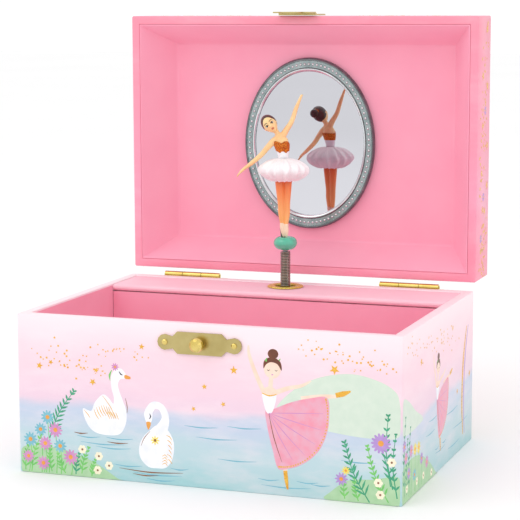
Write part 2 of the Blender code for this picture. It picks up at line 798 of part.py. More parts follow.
def bedplate():
    """The cast bedplate, with its bosses for the spindle, the cylinder and the comb."""
    low = (-22 * MM, BEDPLATE_FRONT, 7 * MM)
    high = (51 * MM, INNER_D - GAP, BEDPLATE_TOP)
    plate = block("bedplate", low, high)
    rooted = BEDPLATE_FRONT + 0.5 * MM

    low = (FITTINGS_X - 3.4 * MM, SPINDLE_Y - 3.2 * MM, 50 * MM)
    spindle_boss = block("spindle_boss", low, (FITTINGS_X + 3.4 * MM, rooted, 53 * MM))
    low = (7.0 * MM, SPINDLE_Y - 2 * MM, BARREL_Z - 2.4 * MM)
    cylinder_boss = block("cylinder_boss", low, (8.4 * MM, rooted, BARREL_Z + 2.4 * MM))
    low = (COMB_LEFT, SPINDLE_Y + COMB_HALF + GAP, COMB_ROOT + 0.3 * MM)
    comb_riser = block("comb_riser", low, (COMB_RIGHT, rooted, COMB_TOP))
    join(plate, spindle_boss, cylinder_boss, comb_riser)

    back = BEDPLATE_FRONT - 2 * MM
    cut(
        plate,
        rod("cut_bedplate_arbor", (FITTINGS_X, back, BARREL_Z), "Y", 6 * MM, 1.9 * MM),
        rod("cut_spindle_boss", (FITTINGS_X, SPINDLE_Y, 48 * MM), "Z", 8 * MM, 1.5 * MM, 16),
        rod("cut_cylinder_boss", (6 * MM, SPINDLE_Y, BARREL_Z), "X", 4 * MM, 1.1 * MM, 12),
    )
    for number, x in enumerate(COMB_SCREWS, 1):
        place = (x, SPINDLE_Y + COMB_HALF, COMB_SCREW_Z)
        cut(plate, rod(f"cut_riser_{number}", place, "Y", 5 * MM, 1.3 * MM, 12))
    finish_part(plate, STEEL)
    for number, (x, z) in enumerate(((-18 * MM, 12 * MM), (-18 * MM, 51 * MM)), 1):
        screw = screw_head(f"bedplate_screw_{number}", x, BEDPLATE_FRONT - 0.1 * MM, z)
        finish_part(screw, STEEL)


def screw_head(name, x, y, z):
    """A slotted cheese head that faces -Y."""
    head = rod(name, (x, y - 1.2 * MM, z), "Y", 1.2 * MM, 2 * MM, 16)
    slot_low = (x - 3 * MM, y - 1.6 * MM, z - 0.25 * MM)
    slot_high = (x + 3 * MM, y - 0.7 * MM, z + 0.25 * MM)
    return cut(head, block(f"cut_{name}_slot", slot_low, slot_high))


def spring_barrel(barrel):
    """A drum open to the front, with crown teeth on its back face."""
    back = CROWN_FACE / MM
    profile = [
        (13.4, back), (13.4, back - 1.6), (10.6, back - 1.6), (10.6, 31.6), (9.8, 31.6),
        (9.8, back - 1.5), (1.8, back - 1.5), (1.8, back), (10.2, back), (13.4, back),
    ]
    points = [(r * MM, z * MM) for r, z in reversed(profile)]
    drum = to_mesh(turned("spring_barrel", points, "Z", (0, 0, 0), 2 * CROWN_TEETH))
    bm = bmesh.new()
    bm.from_mesh(drum.data)
    pitch = 2 * math.pi / CROWN_TEETH
    crown = []
    for face in bm.faces:
        middle = face.calc_center_median()
        radius = math.hypot(middle.x, middle.y)
        flat = abs(face.normal.z) > 0.9 and abs(middle.z - CROWN_FACE) < 0.01 * MM
        if flat and radius > 10.3 * MM:
            share = math.atan2(middle.y, middle.x) / pitch % 1
            if share > 0.5:
                crown.append(face)
    made = bmesh.ops.extrude_discrete_faces(bm, faces=crown)
    for face in made["faces"]:
        middle = face.calc_center_median()
        angle = math.atan2(middle.y, middle.x)
        turn = Matrix.Rotation(-angle, 3, "Z")
        for vert in face.verts:
            local = turn @ vert.co
            local.y *= 0.6
            local.z += CROWN_TOOTH
            vert.co = turn.inverted() @ local
    # Teeth lie just after each pitch angle; a quarter pitch brings gaps onto the axes.
    bmesh.ops.rotate(bm, cent=(0, 0, 0), matrix=Matrix.Rotation(-pitch * 0.25, 3, "Z"), verts=bm.verts)
    bmesh.ops.recalc_face_normals(bm, faces=bm.faces)
    bm.to_mesh(drum.data)
    bm.free()
    drum.data.transform(Matrix.Translation((FITTINGS_X, 0, BARREL_Z)) @ AXIS_TURN["Y"])
    finish_part(drum, BRASS, barrel)

    cover_y = 31.2 * MM
    cover = outline("barrel_cover", [circle(10.4 * MM, 32), circle(1.8 * MM, 16)], 0.4 * MM, "Y",
                    (FITTINGS_X, cover_y, BARREL_Z))
    finish_part(cover, BRASS, barrel)


def mainspring(winder):
    """A spiral ribbon between the arbor and the barrel wall."""
    turns = 3
    per_turn = 16
    inner, outer, ribbon = 2.3 * MM, 9.2 * MM, 0.5 * MM
    loop = []
    for offset, order in ((ribbon / 2, 1), (-ribbon / 2, -1)):
        steps = range(turns * per_turn + 1)[::order]
        for i in steps:
            angle = 2 * math.pi * i / per_turn
            radius = inner + (outer - inner) * i / (turns * per_turn) + offset
            loop.append((radius * math.cos(angle), radius * math.sin(angle)))
    centre = (FITTINGS_X, 35.0 * MM, BARREL_Z)
    finish_part(outline("mainspring", [loop], 5.6 * MM, "Y", centre), STEEL, winder)


def winding_key(winder):
    arbor_start = (FITTINGS_X, ARBOR_FRONT, BARREL_Z)
    arbor = rod("winding_arbor", arbor_start, "Y", ARBOR_BACK - ARBOR_FRONT, ARBOR_R, 16)
    finish_part(arbor, STEEL, winder)
    hub = rod("winding_key", (FITTINGS_X, HUB_FRONT, BARREL_Z), "Y", HUB, HUB_R, 24)
    for side in (-1, 1):
        loop = [(u, v * WING_FLAT) for u, v in circle(WING_R, 20)]
        hole = [(u, v * WING_FLAT) for u, v in circle(WING_HOLE_R, 16)]
        centre = (FITTINGS_X + side * WING_REACH, WING_Y, BARREL_Z)
        join(hub, outline(f"key_wing_{side}", [loop, hole], WING, "Z", centre))
    bore_start = (FITTINGS_X, HUB_FRONT - PROUD, BARREL_Z)
    bore_length = ARBOR_BACK - HUB_FRONT + PROUD + 0.4 * MM
    bore = rod("cut_key_bore", bore_start, "Y", bore_length, ARBOR_R + GAP, 16)
    cut(hub, bore)
    finish_part(hub, BRASS, winder)


def spindle(spin):
    """The upright spindle: its pinion meshes with the crown teeth above the barrel's middle."""
    axis = (FITTINGS_X, SPINDLE_Y)
    mesh_z = BARREL_Z + CROWN_R
    low = mesh_z - 2.7 * MM
    shaft = rod("spindle", (*axis, low), "Z", SHELF_TOP - 0.7 * MM - low, 1.2 * MM, 16)
    teeth = gear_outline(PINION_TEETH, PINION_ROOT, PINION_TIP)
    join(shaft, outline("spindle_pinion", [teeth], 2.4 * MM, "Z", (*axis, mesh_z)))
    finish_part(shaft, STEEL, spin)


def cylinder(cylinder_spin):
    """The pinned cylinder with its pinion at one end and its wheel at the other."""
    pinion_x = FITTINGS_X + CROWN_R
    arbor = rod("cylinder_arbor", (6.6 * MM, SPINDLE_Y, BARREL_Z), "X", 31.6 * MM, 0.8 * MM, 12)
    teeth = gear_outline(PINION_TEETH, PINION_ROOT, PINION_TIP)
    middle = (pinion_x, SPINDLE_Y, BARREL_Z)
    join(arbor, outline("cylinder_pinion", [teeth], 2.2 * MM, "X", middle))
    finish_part(arbor, STEEL, cylinder_spin)

    loops = [
        gear_outline(WHEEL_TEETH, 4.3 * MM, 5.1 * MM, root_share=0.45, tip_share=0.22),
        circle(1.1 * MM, 12),
    ]
    wheel = outline("cylinder_wheel", loops, 1.5 * MM, "X", (34.9 * MM, SPINDLE_Y, BARREL_Z))
    finish_part(wheel, BRASS, cylinder_spin)

    drum = outline("pinned_cylinder", [circle(CYLINDER_R, 32), circle(1.1 * MM, 12)],
                   CYLINDER_LENGTH, "X", (CYLINDER_X + CYLINDER_LENGTH / 2, SPINDLE_Y, BARREL_Z))
    for number in range(COMB_TEETH):
        angle = math.radians(47 * number + 25)
        x = CYLINDER_X + (number + 1) * CYLINDER_LENGTH / (COMB_TEETH + 1)
        pin = rod(f"cylinder_pin_{number}", (x, SPINDLE_Y, BARREL_Z), "Z", 0.85 * MM, 0.22 * MM, 6)
        foot = Matrix.Translation((0, 0, CYLINDER_R - 0.4 * MM))
        pin.data.transform(Matrix.Rotation(angle, 4, "X") @ foot)
        join(drum, pin)
    finish_part(drum, BRASS, cylinder_spin)


def comb():
    """The steel comb: its tooth tips end just clear of the pins at the top of the cylinder."""
    loop = [(COMB_RIGHT, COMB_TOP), (COMB_LEFT, COMB_TOP)]
    for tooth in range(COMB_TEETH):
        x = COMB_LEFT + tooth * COMB_PITCH
        near = x + 0.15 * COMB_PITCH
        far = x + 0.85 * COMB_PITCH
        loop += [(x, COMB_ROOT), (near, COMB_ROOT), (near, COMB_TIP)]
        loop += [(far, COMB_TIP), (far, COMB_ROOT)]
    loop.append((COMB_RIGHT, COMB_ROOT))
    # The Y axis turn maps local Y to -Z.
    flat = [(x, -z) for x, z in loop]
    holes = [circle(1.3 * MM, 12, (x, -COMB_SCREW_Z)) for x in COMB_SCREWS]
    plate = outline("comb", [flat, *holes], 2 * COMB_HALF, "Y", (0, SPINDLE_Y, 0))
    finish_part(plate, STEEL)
    for number, x in enumerate(COMB_SCREWS, 1):
        face = SPINDLE_Y - COMB_HALF - 0.05 * MM
        head = screw_head(f"comb_screw_{number}", x, face, COMB_SCREW_Z)
        start = (x, face - 0.3 * MM, COMB_SCREW_Z)
        shank = rod(f"comb_shank_{number}", start, "Y", 4.4 * MM, 1.0 * MM, 12)
        finish_part(join(head, shank), STEEL)


def governor(governor_spin, worm_spin):
    frame = block("governor_frame", FRAME_LOW, FRAME_HIGH)
    low = (FRAME_LOW[0] + SHEET, FRAME_LOW[1] - 1 * MM, FRAME_LOW[2] + SHEET)
    high = (FRAME_HIGH[0] - SHEET, FRAME_HIGH[1] - SHEET, FRAME_HIGH[2] - SHEET)
    left = FRAME_LOW[0] - 1 * MM
    cut(
        frame,
        block("cut_frame_inside", low, high),
        rod("cut_frame_cylinder", (left, SPINDLE_Y, BARREL_Z), "X", 3.4 * MM, 1.1 * MM, 12),
        rod("cut_frame_governor", (left, SPINDLE_Y, GOVERNOR_Z), "X", 16 * MM, 0.9 * MM, 12),
        rod("cut_frame_worm", (WORM_X, WORM_Y, 10 * MM), "Z", 40 * MM, 0.95 * MM, 12),
        rod("cut_frame_stop", (STOP_END[0], STOP_END[1], 40 * MM), "Z", 6 * MM, 1.2 * MM, 12),
    )
    finish_part(frame, BRASS)

    arbor = rod("governor_arbor", (33.8 * MM, SPINDLE_Y, GOVERNOR_Z), "X", 15.4 * MM, 0.6 * MM, 12)
    half_tooth = math.pi / GOVERNOR_TEETH
    teeth = gear_outline(GOVERNOR_TEETH, 1.9 * MM, 2.65 * MM, half_tooth, 0.5, 0.24)
    middle = (34.9 * MM, SPINDLE_Y, GOVERNOR_Z)
    join(arbor, outline("governor_pinion", [teeth], 1.5 * MM, "X", middle))
    finish_part(arbor, STEEL, governor_spin)
    loops = [gear_outline(WORM_TEETH, 2.6 * MM, 3.35 * MM, 0, 0.42, 0.2), circle(0.9 * MM, 12)]
    wheel = outline("worm_wheel", loops, 1.2 * MM, "X", (WORM_X, SPINDLE_Y, GOVERNOR_Z))
    finish_part(wheel, BRASS, governor_spin)

    lead = math.pi * MODULE
    start = GOVERNOR_Z + lead / 4 - 4 * lead
    core = rod("governor_worm", (WORM_X, WORM_Y, 12.6 * MM), "Z", 31 * MM, 0.65 * MM, 12)
    body = rod("worm_body", (WORM_X, WORM_Y, start - 0.6 * MM), "Z", 8 * lead, 0.9 * MM, 12)
    turns = coil(7, start, start + 7 * lead, THREAD_R, (WORM_X, WORM_Y), 12)
    thread = wire("worm_thread", turns, THREAD, 1)
    blade_low = (WORM_X - FAN_REACH, WORM_Y - FAN_SHEET / 2, FAN_LOW)
    blade_high = (WORM_X + FAN_REACH, WORM_Y + FAN_SHEET / 2, FAN_HIGH)
    join(core, body, thread, block("fan_blades", blade_low, blade_high))
    finish_part(core, STEEL, worm_spin)


def stop_wire(stop):
    """The wire that the lid pushes down into the fan's path."""
    points = [
        (STOP_X, STOP_Y, BOX_HEIGHT + STOP_TRAVEL),
        (STOP_X, STOP_Y, STOP_RUN_Z + STOP_BEND),
        (STOP_X, STOP_Y - STOP_BEND, STOP_RUN_Z),
        (STOP_X, STOP_RUN_Y + STOP_BEND, STOP_RUN_Z),
        (STOP_X + STOP_BEND, STOP_RUN_Y, STOP_RUN_Z),
        (STOP_END[0] - STOP_BEND, STOP_RUN_Y, STOP_RUN_Z),
        (STOP_END[0], STOP_RUN_Y - STOP_BEND, STOP_RUN_Z),
        (STOP_END[0], STOP_END[1] + STOP_BEND, STOP_RUN_Z),
        (*STOP_END, STOP_RUN_Z - STOP_BEND),
        (*STOP_END, STOP_END_Z),
    ]
    finish_part(wire("stop_wire", points, STOP_R), STEEL, stop)


def main():
    hinge = pivot("lid_hinge_axis", (0, HINGE_Y, HINGE_Z))
    lower = pivot("spring_bend_low", (FITTINGS_X, SPINDLE_Y, BEND_LOW))
    upper = pivot("spring_bend_high", (FITTINGS_X, SPINDLE_Y, BEND_HIGH))
    figure = pivot("doll_axis", (FITTINGS_X, SPINDLE_Y, BEND_HIGH))
    spin = pivot("spindle_axis", (FITTINGS_X, SPINDLE_Y, BARREL_Z + CROWN_R))
    barrel = pivot("barrel_axis", (FITTINGS_X, CROWN_FACE, BARREL_Z))
    winder = pivot("winding_axis", (FITTINGS_X, CROWN_FACE, BARREL_Z))
    cylinder_spin = pivot("cylinder_axis", (0, SPINDLE_Y, BARREL_Z))
    governor_spin = pivot("governor_axis", (0, SPINDLE_Y, GOVERNOR_Z))
    worm_spin = pivot("worm_axis", (WORM_X, WORM_Y, GOVERNOR_Z))
    stop = pivot("stop_wire_axis", (STOP_X, STOP_Y, BOX_HEIGHT))

    base_box()
    movement_shelf()
    lid(hinge)
    mirror(hinge)
    hinges(hinge)
    clasp(hinge)
    doll(lower, upper, figure)
    bedplate()
    spring_barrel(barrel)
    mainspring(winder)
    winding_key(winder)
    spindle(spin)
    cylinder(cylinder_spin)
    comb()
    governor(governor_spin, worm_spin)
    stop_wire(stop)


main()
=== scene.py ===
"""Looks of the ballerina musical jewellery box: paper wrap and print, linings, doll, mirror, metal."""

import math
import random

import bmesh
import bpy
from mathutils import Matrix, Vector


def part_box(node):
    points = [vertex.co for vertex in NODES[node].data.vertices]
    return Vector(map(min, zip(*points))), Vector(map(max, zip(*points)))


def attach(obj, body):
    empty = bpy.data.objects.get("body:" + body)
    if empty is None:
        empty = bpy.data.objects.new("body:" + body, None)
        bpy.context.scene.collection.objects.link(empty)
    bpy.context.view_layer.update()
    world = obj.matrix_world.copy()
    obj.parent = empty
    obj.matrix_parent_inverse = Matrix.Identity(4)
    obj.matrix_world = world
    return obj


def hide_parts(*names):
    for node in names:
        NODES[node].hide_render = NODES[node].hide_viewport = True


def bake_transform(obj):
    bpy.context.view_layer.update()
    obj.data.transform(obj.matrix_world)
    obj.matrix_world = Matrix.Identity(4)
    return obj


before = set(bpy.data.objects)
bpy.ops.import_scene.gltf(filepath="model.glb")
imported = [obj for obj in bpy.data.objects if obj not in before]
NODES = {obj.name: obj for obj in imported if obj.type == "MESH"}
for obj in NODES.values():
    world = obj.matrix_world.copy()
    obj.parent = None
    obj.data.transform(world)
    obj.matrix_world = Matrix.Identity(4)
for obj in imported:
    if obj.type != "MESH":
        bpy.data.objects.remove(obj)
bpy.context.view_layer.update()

MM = 0.001


# Colour and materials ---------------------------------------------------------------------------


def srgb(red, green, blue):
    """A colour given as 0 to 255 sRGB, as linear RGBA."""
    linear = []
    for value in (red, green, blue):
        share = value / 255
        linear.append(share / 12.92 if share <= 0.04045 else ((share + 0.055) / 1.055) ** 2.4)
    return (*linear, 1)


class Paint:
    """A material being mixed: its node tree, its shader and the object's own coordinates."""

    def __init__(self, name):
        self.made = bpy.data.materials.new(name)
        self.made.use_nodes = True
        self.tree = self.made.node_tree
        self.shader = self.tree.nodes["Principled BSDF"]
        self.place = self.node("TexCoord", {}, "Object")

    def feed(self, made, inputs):
        """Gives a node its inputs, each a plain value or another node's output."""
        for name, value in inputs.items():
            if isinstance(value, bpy.types.NodeSocket):
                self.tree.links.new(value, made.inputs[name])
            else:
                made.inputs[name].default_value = value

    def node(self, kind, inputs, output=0, **settings):
        """The output of a new node."""
        made = self.tree.nodes.new("ShaderNode" + kind)
        for name, value in settings.items():
            setattr(made, name, value)
        self.feed(made, inputs)
        return made.outputs[output]

    def noise(self, scale, detail=3.0, roughness=0.5, stretch=None):
        """Noise in the object's own coordinates; stretch scales them first."""
        place = self.place
        if stretch:
            place = self.node("Mapping", {"Vector": place, "Scale": stretch})
        inputs = {"Vector": place, "Scale": scale, "Detail": detail, "Roughness": roughness}
        return self.node("TexNoise", inputs, "Fac")

    def spread(self, value, low, high, start=0.3, end=0.7):
        """A value between start and end, spread from low to high."""
        inputs = {"Value": value, "From Min": start, "From Max": end, "To Min": low, "To Max": high}
        return self.node("MapRange", inputs, "Result")

    def blend(self, factor, first, second):
        return self.node("Mix", {0: factor, 6: first, 7: second}, 2, data_type="RGBA")

    def finish(self, height, depth, inputs):
        """Sets the shader's inputs, with relief of a depth in mm where there is one."""
        self.feed(self.shader, inputs)
        if depth:
            relief = {"Height": height, "Distance": depth * MM, "Strength": 1.0}
            self.feed(self.shader, {"Normal": self.node("Bump", relief, "Normal")})
        return self.made


def surface(
    name, first, second, rough, patch=60, grain=1800, depth=0.03, swing=0.06, stretch=None,
    metallic=0.0, coat=0.0, coat_rough=0.15, sheen=0.0, soft=0.0,
):
    """Two close shades in broad patches, with fine grain in roughness and relief (depth in mm)."""
    paint = Paint(name)
    shade = paint.spread(paint.noise(patch), 0, 1)
    fine = paint.noise(grain, 2, stretch=stretch)
    return paint.finish(fine, depth, {
        "Base Color": paint.blend(shade, srgb(*first), srgb(*second)),
        "Roughness": paint.spread(fine, rough - swing, rough + swing),
        "Metallic": metallic, "Coat Weight": coat, "Coat Roughness": coat_rough,
        "Sheen Weight": sheen, "Subsurface Weight": soft,
        "Subsurface Radius": (0.002, 0.001, 0.0006), "Subsurface Scale": 1,
    })


def printed_paper(name, stops, low, high, drift, wash_most):
    """Watercolour print: bands of colour by height, drifting with soft noise, on satin paper."""
    paint = Paint(name)
    height = paint.node("SeparateXYZ", {0: paint.place}, "Z")
    waver = paint.spread(paint.noise(22, 4, stretch=(1, 1, 2.5)), -drift * MM, drift * MM)
    height = paint.node("Math", {0: height, 1: waver})
    bands = paint.node("ValToRGB", {0: paint.spread(height, 0, 1, low * MM, high * MM)})
    ramp = bands.node.color_ramp
    ramp.interpolation = "EASE"
    while len(ramp.elements) < len(stops):
        ramp.elements.new(0.5)
    for element, (place, colour) in zip(ramp.elements, stops):
        element.position = place
        element.color = srgb(*colour)
    wash = paint.spread(paint.noise(45, 5, 0.6, stretch=(1, 1, 3)), 0, wash_most, 0.45, 0.8)
    fine = paint.noise(2600, 2)
    return paint.finish(fine, 0.012, {
        "Base Color": paint.blend(wash, bands, srgb(251, 232, 238)),
        "Roughness": paint.spread(fine, 0.36, 0.48), "Coat Weight": 0.12, "Coat Roughness": 0.25,
    })


def glitter():
    """Amber glitter: flakes that each tilt their own way."""
    paint = Paint("amber_glitter")
    flakes = paint.node("TexVoronoi", {"Vector": paint.place, "Scale": 3200}, "Color")
    tone = paint.node("SeparateColor", {0: flakes}).node.outputs
    return paint.finish(tone["Blue"], 0.06, {
        "Base Color": paint.blend(tone["Red"], srgb(160, 62, 14), srgb(232, 136, 40)),
        "Roughness": paint.spread(tone["Green"], 0.2, 0.5, 0, 1), "Metallic": 0.55,
    })


def net(name, first, second):
    """Fine white net: two crossed sets of threads over a soft white."""
    paint = Paint(name)
    weave = {"Vector": paint.place, "Scale": 900, "Distortion": 1.5}
    across, up = (paint.node("TexWave", weave, "Fac", bands_direction=way) for way in ("X", "Z"))
    crossed = paint.node("Math", {0: across, 1: up}, operation="MAXIMUM")
    return paint.finish(crossed, 0.04, {
        "Base Color": paint.blend(crossed, srgb(*first), srgb(*second)),
        "Roughness": paint.spread(crossed, 0.95, 0.7, 0, 1),
        "Sheen Weight": 0.5, "Sheen Roughness": 0.4,
    })


def tights(low, high):
    """Colour that deepens upwards from light tan to full orange between two heights in mm."""
    paint = Paint("painted_legs")
    height = paint.node("SeparateXYZ", {0: paint.place}, "Z")
    share = paint.spread(height, 0, 1, low * MM, high * MM)
    fine = paint.noise(1400, 2)
    return paint.finish(fine, 0.015, {
        "Base Color": paint.blend(share, srgb(252, 186, 112), srgb(244, 112, 44)),
        "Roughness": paint.spread(fine, 0.3, 0.42), "Coat Weight": 0.3, "Coat Roughness": 0.15,
    })


SKY_STOPS = (
    (0, (168, 210, 214)), (0.22, (190, 215, 222)), (0.42, (196, 208, 228)),
    (0.50, (238, 208, 224)), (0.72, (249, 212, 224)), (1, (252, 230, 236)),
)
LID_STOPS = (
    (0, (248, 148, 172)), (0.35, (246, 160, 186)), (0.6, (248, 154, 178)), (1, (247, 148, 170)),
)
PAPER = printed_paper("printed_paper_base", SKY_STOPS, 0, 65, drift=2.4, wash_most=0.45)
LID_PAPER = printed_paper("printed_paper_lid", LID_STOPS, 68, 182, drift=9, wash_most=0.16)
LINING = surface("pink_lining_paper", (252, 172, 194), (250, 166, 190), 0.62, grain=2400)
DEEP_LINING = surface(
    "deep_pink_flock", (252, 176, 198), (250, 168, 192), 0.8, grain=3000, sheen=0.3
)
SHELF_PAPER = surface("shelf_paper", (253, 208, 220), (252, 202, 216), 0.6, grain=2400)
AGED_BRASS = surface(
    "aged_brass", (198, 182, 126), (182, 165, 108), 0.34, 150, 900, 0.015, metallic=1.0,
    stretch=(1, 1, 6),
)
BRIGHT_BRASS = surface(
    "bright_brass", (230, 208, 128), (212, 186, 100), 0.22, 200, 1500, 0.01, metallic=1.0
)
EYELET_BRASS = surface(
    "eyelet_brass", (232, 214, 104), (214, 190, 80), 0.3, 200, 1500, 0.01, metallic=0.6
)
MACHINED_BRASS = surface(
    "machined_brass", (214, 180, 104), (196, 160, 88), 0.3, 120, 1200, 0.015, metallic=1.0,
    stretch=(8, 1, 1),
)
CASTING = surface(
    "die_casting", (150, 150, 154), (132, 132, 137), 0.5, 120, 700, 0.06, metallic=1.0
)
STEEL = surface(
    "brushed_steel", (188, 188, 190), (168, 168, 172), 0.3, 150, 1600, 0.01, metallic=1.0,
    stretch=(1, 1, 8),
)
SPRING_STEEL = surface(
    "spring_wire", (172, 164, 154), (140, 132, 122), 0.14, 300, 2200, 0.008, metallic=1.0
)
KEY_METAL = surface(
    "key_brass", (220, 190, 110), (204, 172, 92), 0.22, 150, 1200, 0.01, metallic=1.0
)
SILVER = surface(
    "plated_frame", (168, 180, 180), (140, 154, 155), 0.26, 260, 2000, 0.02, metallic=0.85
)
SILVER_DARK = surface(
    "plated_frame_edge", (124, 132, 134), (100, 108, 110), 0.3, 260, 2000, 0.02, metallic=0.9
)
POLISHED = surface(
    "polished_lip", (226, 230, 232), (206, 212, 214), 0.12, 200, 1800, 0.005, metallic=1.0
)
GLASS = surface(
    "silvered_glass", (210, 210, 216), (207, 207, 213), 0.01, 30, 400, 0, metallic=1.0, swing=0.005
)
FOIL = surface("gold_foil", (240, 190, 76), (228, 164, 52), 0.3, 300, 1800, 0.02, metallic=0.3)
TEAL = surface(
    "teal_plastic", (84, 198, 164), (70, 184, 150), 0.22, 300, 900, 0.01, coat=1.0, coat_rough=0.05
)
DARK_TEAL = surface("dark_green_plastic", (12, 62, 36), (8, 50, 30), 0.3, 300, 900, 0.02, coat=0.5)
SKIN = surface(
    "painted_skin", (252, 218, 158), (248, 200, 140), 0.38, 160, 1400, 0.015, coat=0.25, soft=0.15
)
SHOES = surface("painted_shoes", (250, 228, 200), (244, 214, 182), 0.35, 300, 1400, 0.015, coat=0.3)
HAIR = surface(
    "painted_hair", (74, 34, 24), (52, 22, 16), 0.34, 300, 1500, 0.05, coat=0.35, stretch=(1, 1, 5)
)
EYE = surface("painted_eye", (34, 20, 14), (24, 14, 10), 0.25, 400, 1500, 0.005, coat=0.5)
EYE_WHITE = surface(
    "painted_eye_white", (250, 246, 240), (244, 240, 234), 0.3, 400, 1500, 0.005, coat=0.4
)
LIPS = surface("painted_lips", (206, 84, 62), (190, 70, 52), 0.35, 400, 1500, 0.01, coat=0.3)
TIGHTS = tights(95, 112)
GLITTER = glitter()
TULLE = net("white_tulle_net", (242, 241, 243), (252, 250, 251))
TULLE_INNER = net("inner_tulle_net", (238, 232, 240), (252, 248, 252))
BODICE_WHITE = net("white_bodice_cloth", (232, 228, 234), (250, 248, 252))


# Mesh helpers -----------------------------------------------------------------------------------


def add_object(name, data):
    obj = bpy.data.objects.new(name, data)
    bpy.context.scene.collection.objects.link(obj)
    return obj


def mesh_object(name, bm):
    """An object from a bmesh, which is used up."""
    mesh = bpy.data.meshes.new(name)
    bm.to_mesh(mesh)
    bm.free()
    return add_object(name, mesh)


def piece(name, bm, body, material, smooth=True):
    """A finished piece from a bmesh in the row frame, riding on a body where one is given."""
    bmesh.ops.remove_doubles(bm, verts=bm.verts, dist=1e-7)
    bmesh.ops.recalc_face_normals(bm, faces=bm.faces)
    obj = mesh_object(name, bm)
    obj.data.materials.append(material)
    if smooth:
        obj.data.shade_smooth()
        obj.data.set_sharp_from_angle(angle=math.radians(40))
    if body:
        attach(obj, body)
    return obj


def apply_modifiers(obj):
    """Bakes the object's modifiers into its mesh, which keeps its first material."""
    material = obj.data.materials[0]
    graph = bpy.context.evaluated_depsgraph_get()
    bpy.context.view_layer.update()
    mesh = bpy.data.meshes.new_from_object(obj.evaluated_get(graph))
    obj.modifiers.clear()
    obj.data = mesh
    mesh.materials.clear()
    mesh.materials.append(material)


def circle(count):
    """Cosines and sines of equal steps round a circle."""
    return [
        (math.cos(2 * math.pi * k / count), math.sin(2 * math.pi * k / count)) for k in range(count)
    ]


def loft(bm, loops, closed=False):
    """Skins point loops of equal length: closed joins the last to the first, or else both are capped."""
    rows = [[bm.verts.new(Vector(point) * MM) for point in loop] for loop in loops]
    pairs = list(zip(rows, rows[1:]))
    if closed:
        pairs.append((rows[-1], rows[0]))
    for lower, upper in pairs:
        for i, start in enumerate(lower):
            j = (i + 1) % len(lower)
            bm.faces.new((start, lower[j], upper[j], upper[i]))
    if not closed:
        bm.faces.new(rows[0][::-1])
        bm.faces.new(rows[-1])


def lofted(name, loops, body, material, closed=False, smooth=True):
    """A piece skinned over point loops."""
    bm = bmesh.new()
    loft(bm, loops, closed)
    return piece(name, bm, body, material, smooth)


def rounded_rectangle(half_u, half_v, radius, steps=5):
    """Corner points of a rounded rectangle, counter-clockwise."""
    points = []
    for sign_u, sign_v, start in ((1, 1, 0), (-1, 1, 90), (-1, -1, 180), (1, -1, 270)):
        for step in range(steps + 1):
            angle = math.radians(start + 90 * step / steps)
            u = sign_u * (half_u - radius) + radius * math.cos(angle)
            v = sign_v * (half_v - radius) + radius * math.sin(angle)
            points.append((u, v))
    return points


def inset_rings(profile, half_u, half_v, place):
    """Rounded rectangles set in from an outer one: each (inset, depth) goes through place(u, v, depth)."""
    rings = []
    for inset, depth in profile:
        ring = rounded_rectangle(half_u - inset, half_v - inset, max(CORNER - inset, 0.2))
        rings.append([place(u, v, depth) for u, v in ring])
    return rings


ROUND_END = ((0, 1), (0.38, 0.93), (0.7, 0.72), (0.92, 0.4), (1, 0.05))


def tube_between(bm, points, radii, front, flat=1.0, sides=14):
    """A round-ended limb through points; flat squeezes it along the front direction."""
    points = [Vector(point) for point in points]
    loops = []
    last = len(points) - 1
    for index, (point, radius) in enumerate(zip(points, radii)):
        along = (points[min(index + 1, last)] - points[max(index - 1, 0)]).normalized()
        side = along.cross(front).normalized()
        fore = side.cross(along).normalized() * flat
        rings = ROUND_END if index == last else ROUND_END[:1]
        if index == 0:
            rings = [(-push, share) for push, share in ROUND_END[::-1]]
        for push, share in rings:
            middle = point + along * push * radius
            reach = radius * share
            loops.append([middle + side * reach * cos + fore * reach * sin for cos, sin in circle(sides)])
    loft(bm, loops)


def catmull(points, steps, closed=False):
    """A smooth line through the points."""
    count = len(points)
    out = []
    for i in range(count if closed else count - 1):
        near = [i + k if not closed else (i + k) % count for k in (-1, 0, 1, 2)]
        near = [points[min(max(index, 0), count - 1)] for index in near]
        for t in (step / steps for step in range(steps)):
            out.append(tuple(
                (2 * b + (c - a) * t + (2 * a - 5 * b + 4 * c - d) * t * t
                 + (3 * b - 3 * c + d - a) * t**3) / 2
                for a, b, c, d in zip(*near)
            ))
    if not closed:
        out.append(tuple(points[-1]))
    return out


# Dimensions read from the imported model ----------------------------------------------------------


def corners(node):
    """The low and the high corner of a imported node's box, in mm."""
    return [[value / MM for value in corner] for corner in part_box(node)]


def middle_of(node):
    """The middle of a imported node's box, in mm."""
    return [(low + high) / 2 for low, high in zip(*corners(node))]


(_, front_low, _), (HALF_W, front_high, BASE_TOP) = corners("base_front_wall")
WALL = front_high - front_low
HALF_D = corners("base_rear_wall")[1][1]
(_, BOARD_FRONT, lid_low), (_, LID_BACK, lid_high) = corners("lid_board")
LID_MIDDLE = (lid_low + lid_high) / 2
LID_HALF = (lid_high - lid_low) / 2
LID_RIM = corners("lid_right_wall")[0][1]
(_, _, end_low), (_, _, end_high) = corners("lid_rear_wall")
LID_WALL = end_high - end_low
PANEL_FRONT = corners("lid_panel")[0][1]
AXIS_X, AXIS_Y, _ = middle_of("doll_bead")

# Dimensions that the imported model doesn't carry, in mm.
CORNER = 0.8
TRAY_FIT = 0.06
TRAY_SLOPE_U, TRAY_SLOPE_V = 10.8, 9
LINER = 0.15
KEY_HOLE = 2.6
STOP_HOLE = 1.1
STOP_GROOVE = (2.6, 4.6, 7)
CUT_DEEP = 12
BEADS, BEAD_RADIUS, BEAD_INSET, BEAD_FRONT = 92, 0.62, 2.3, 2.05


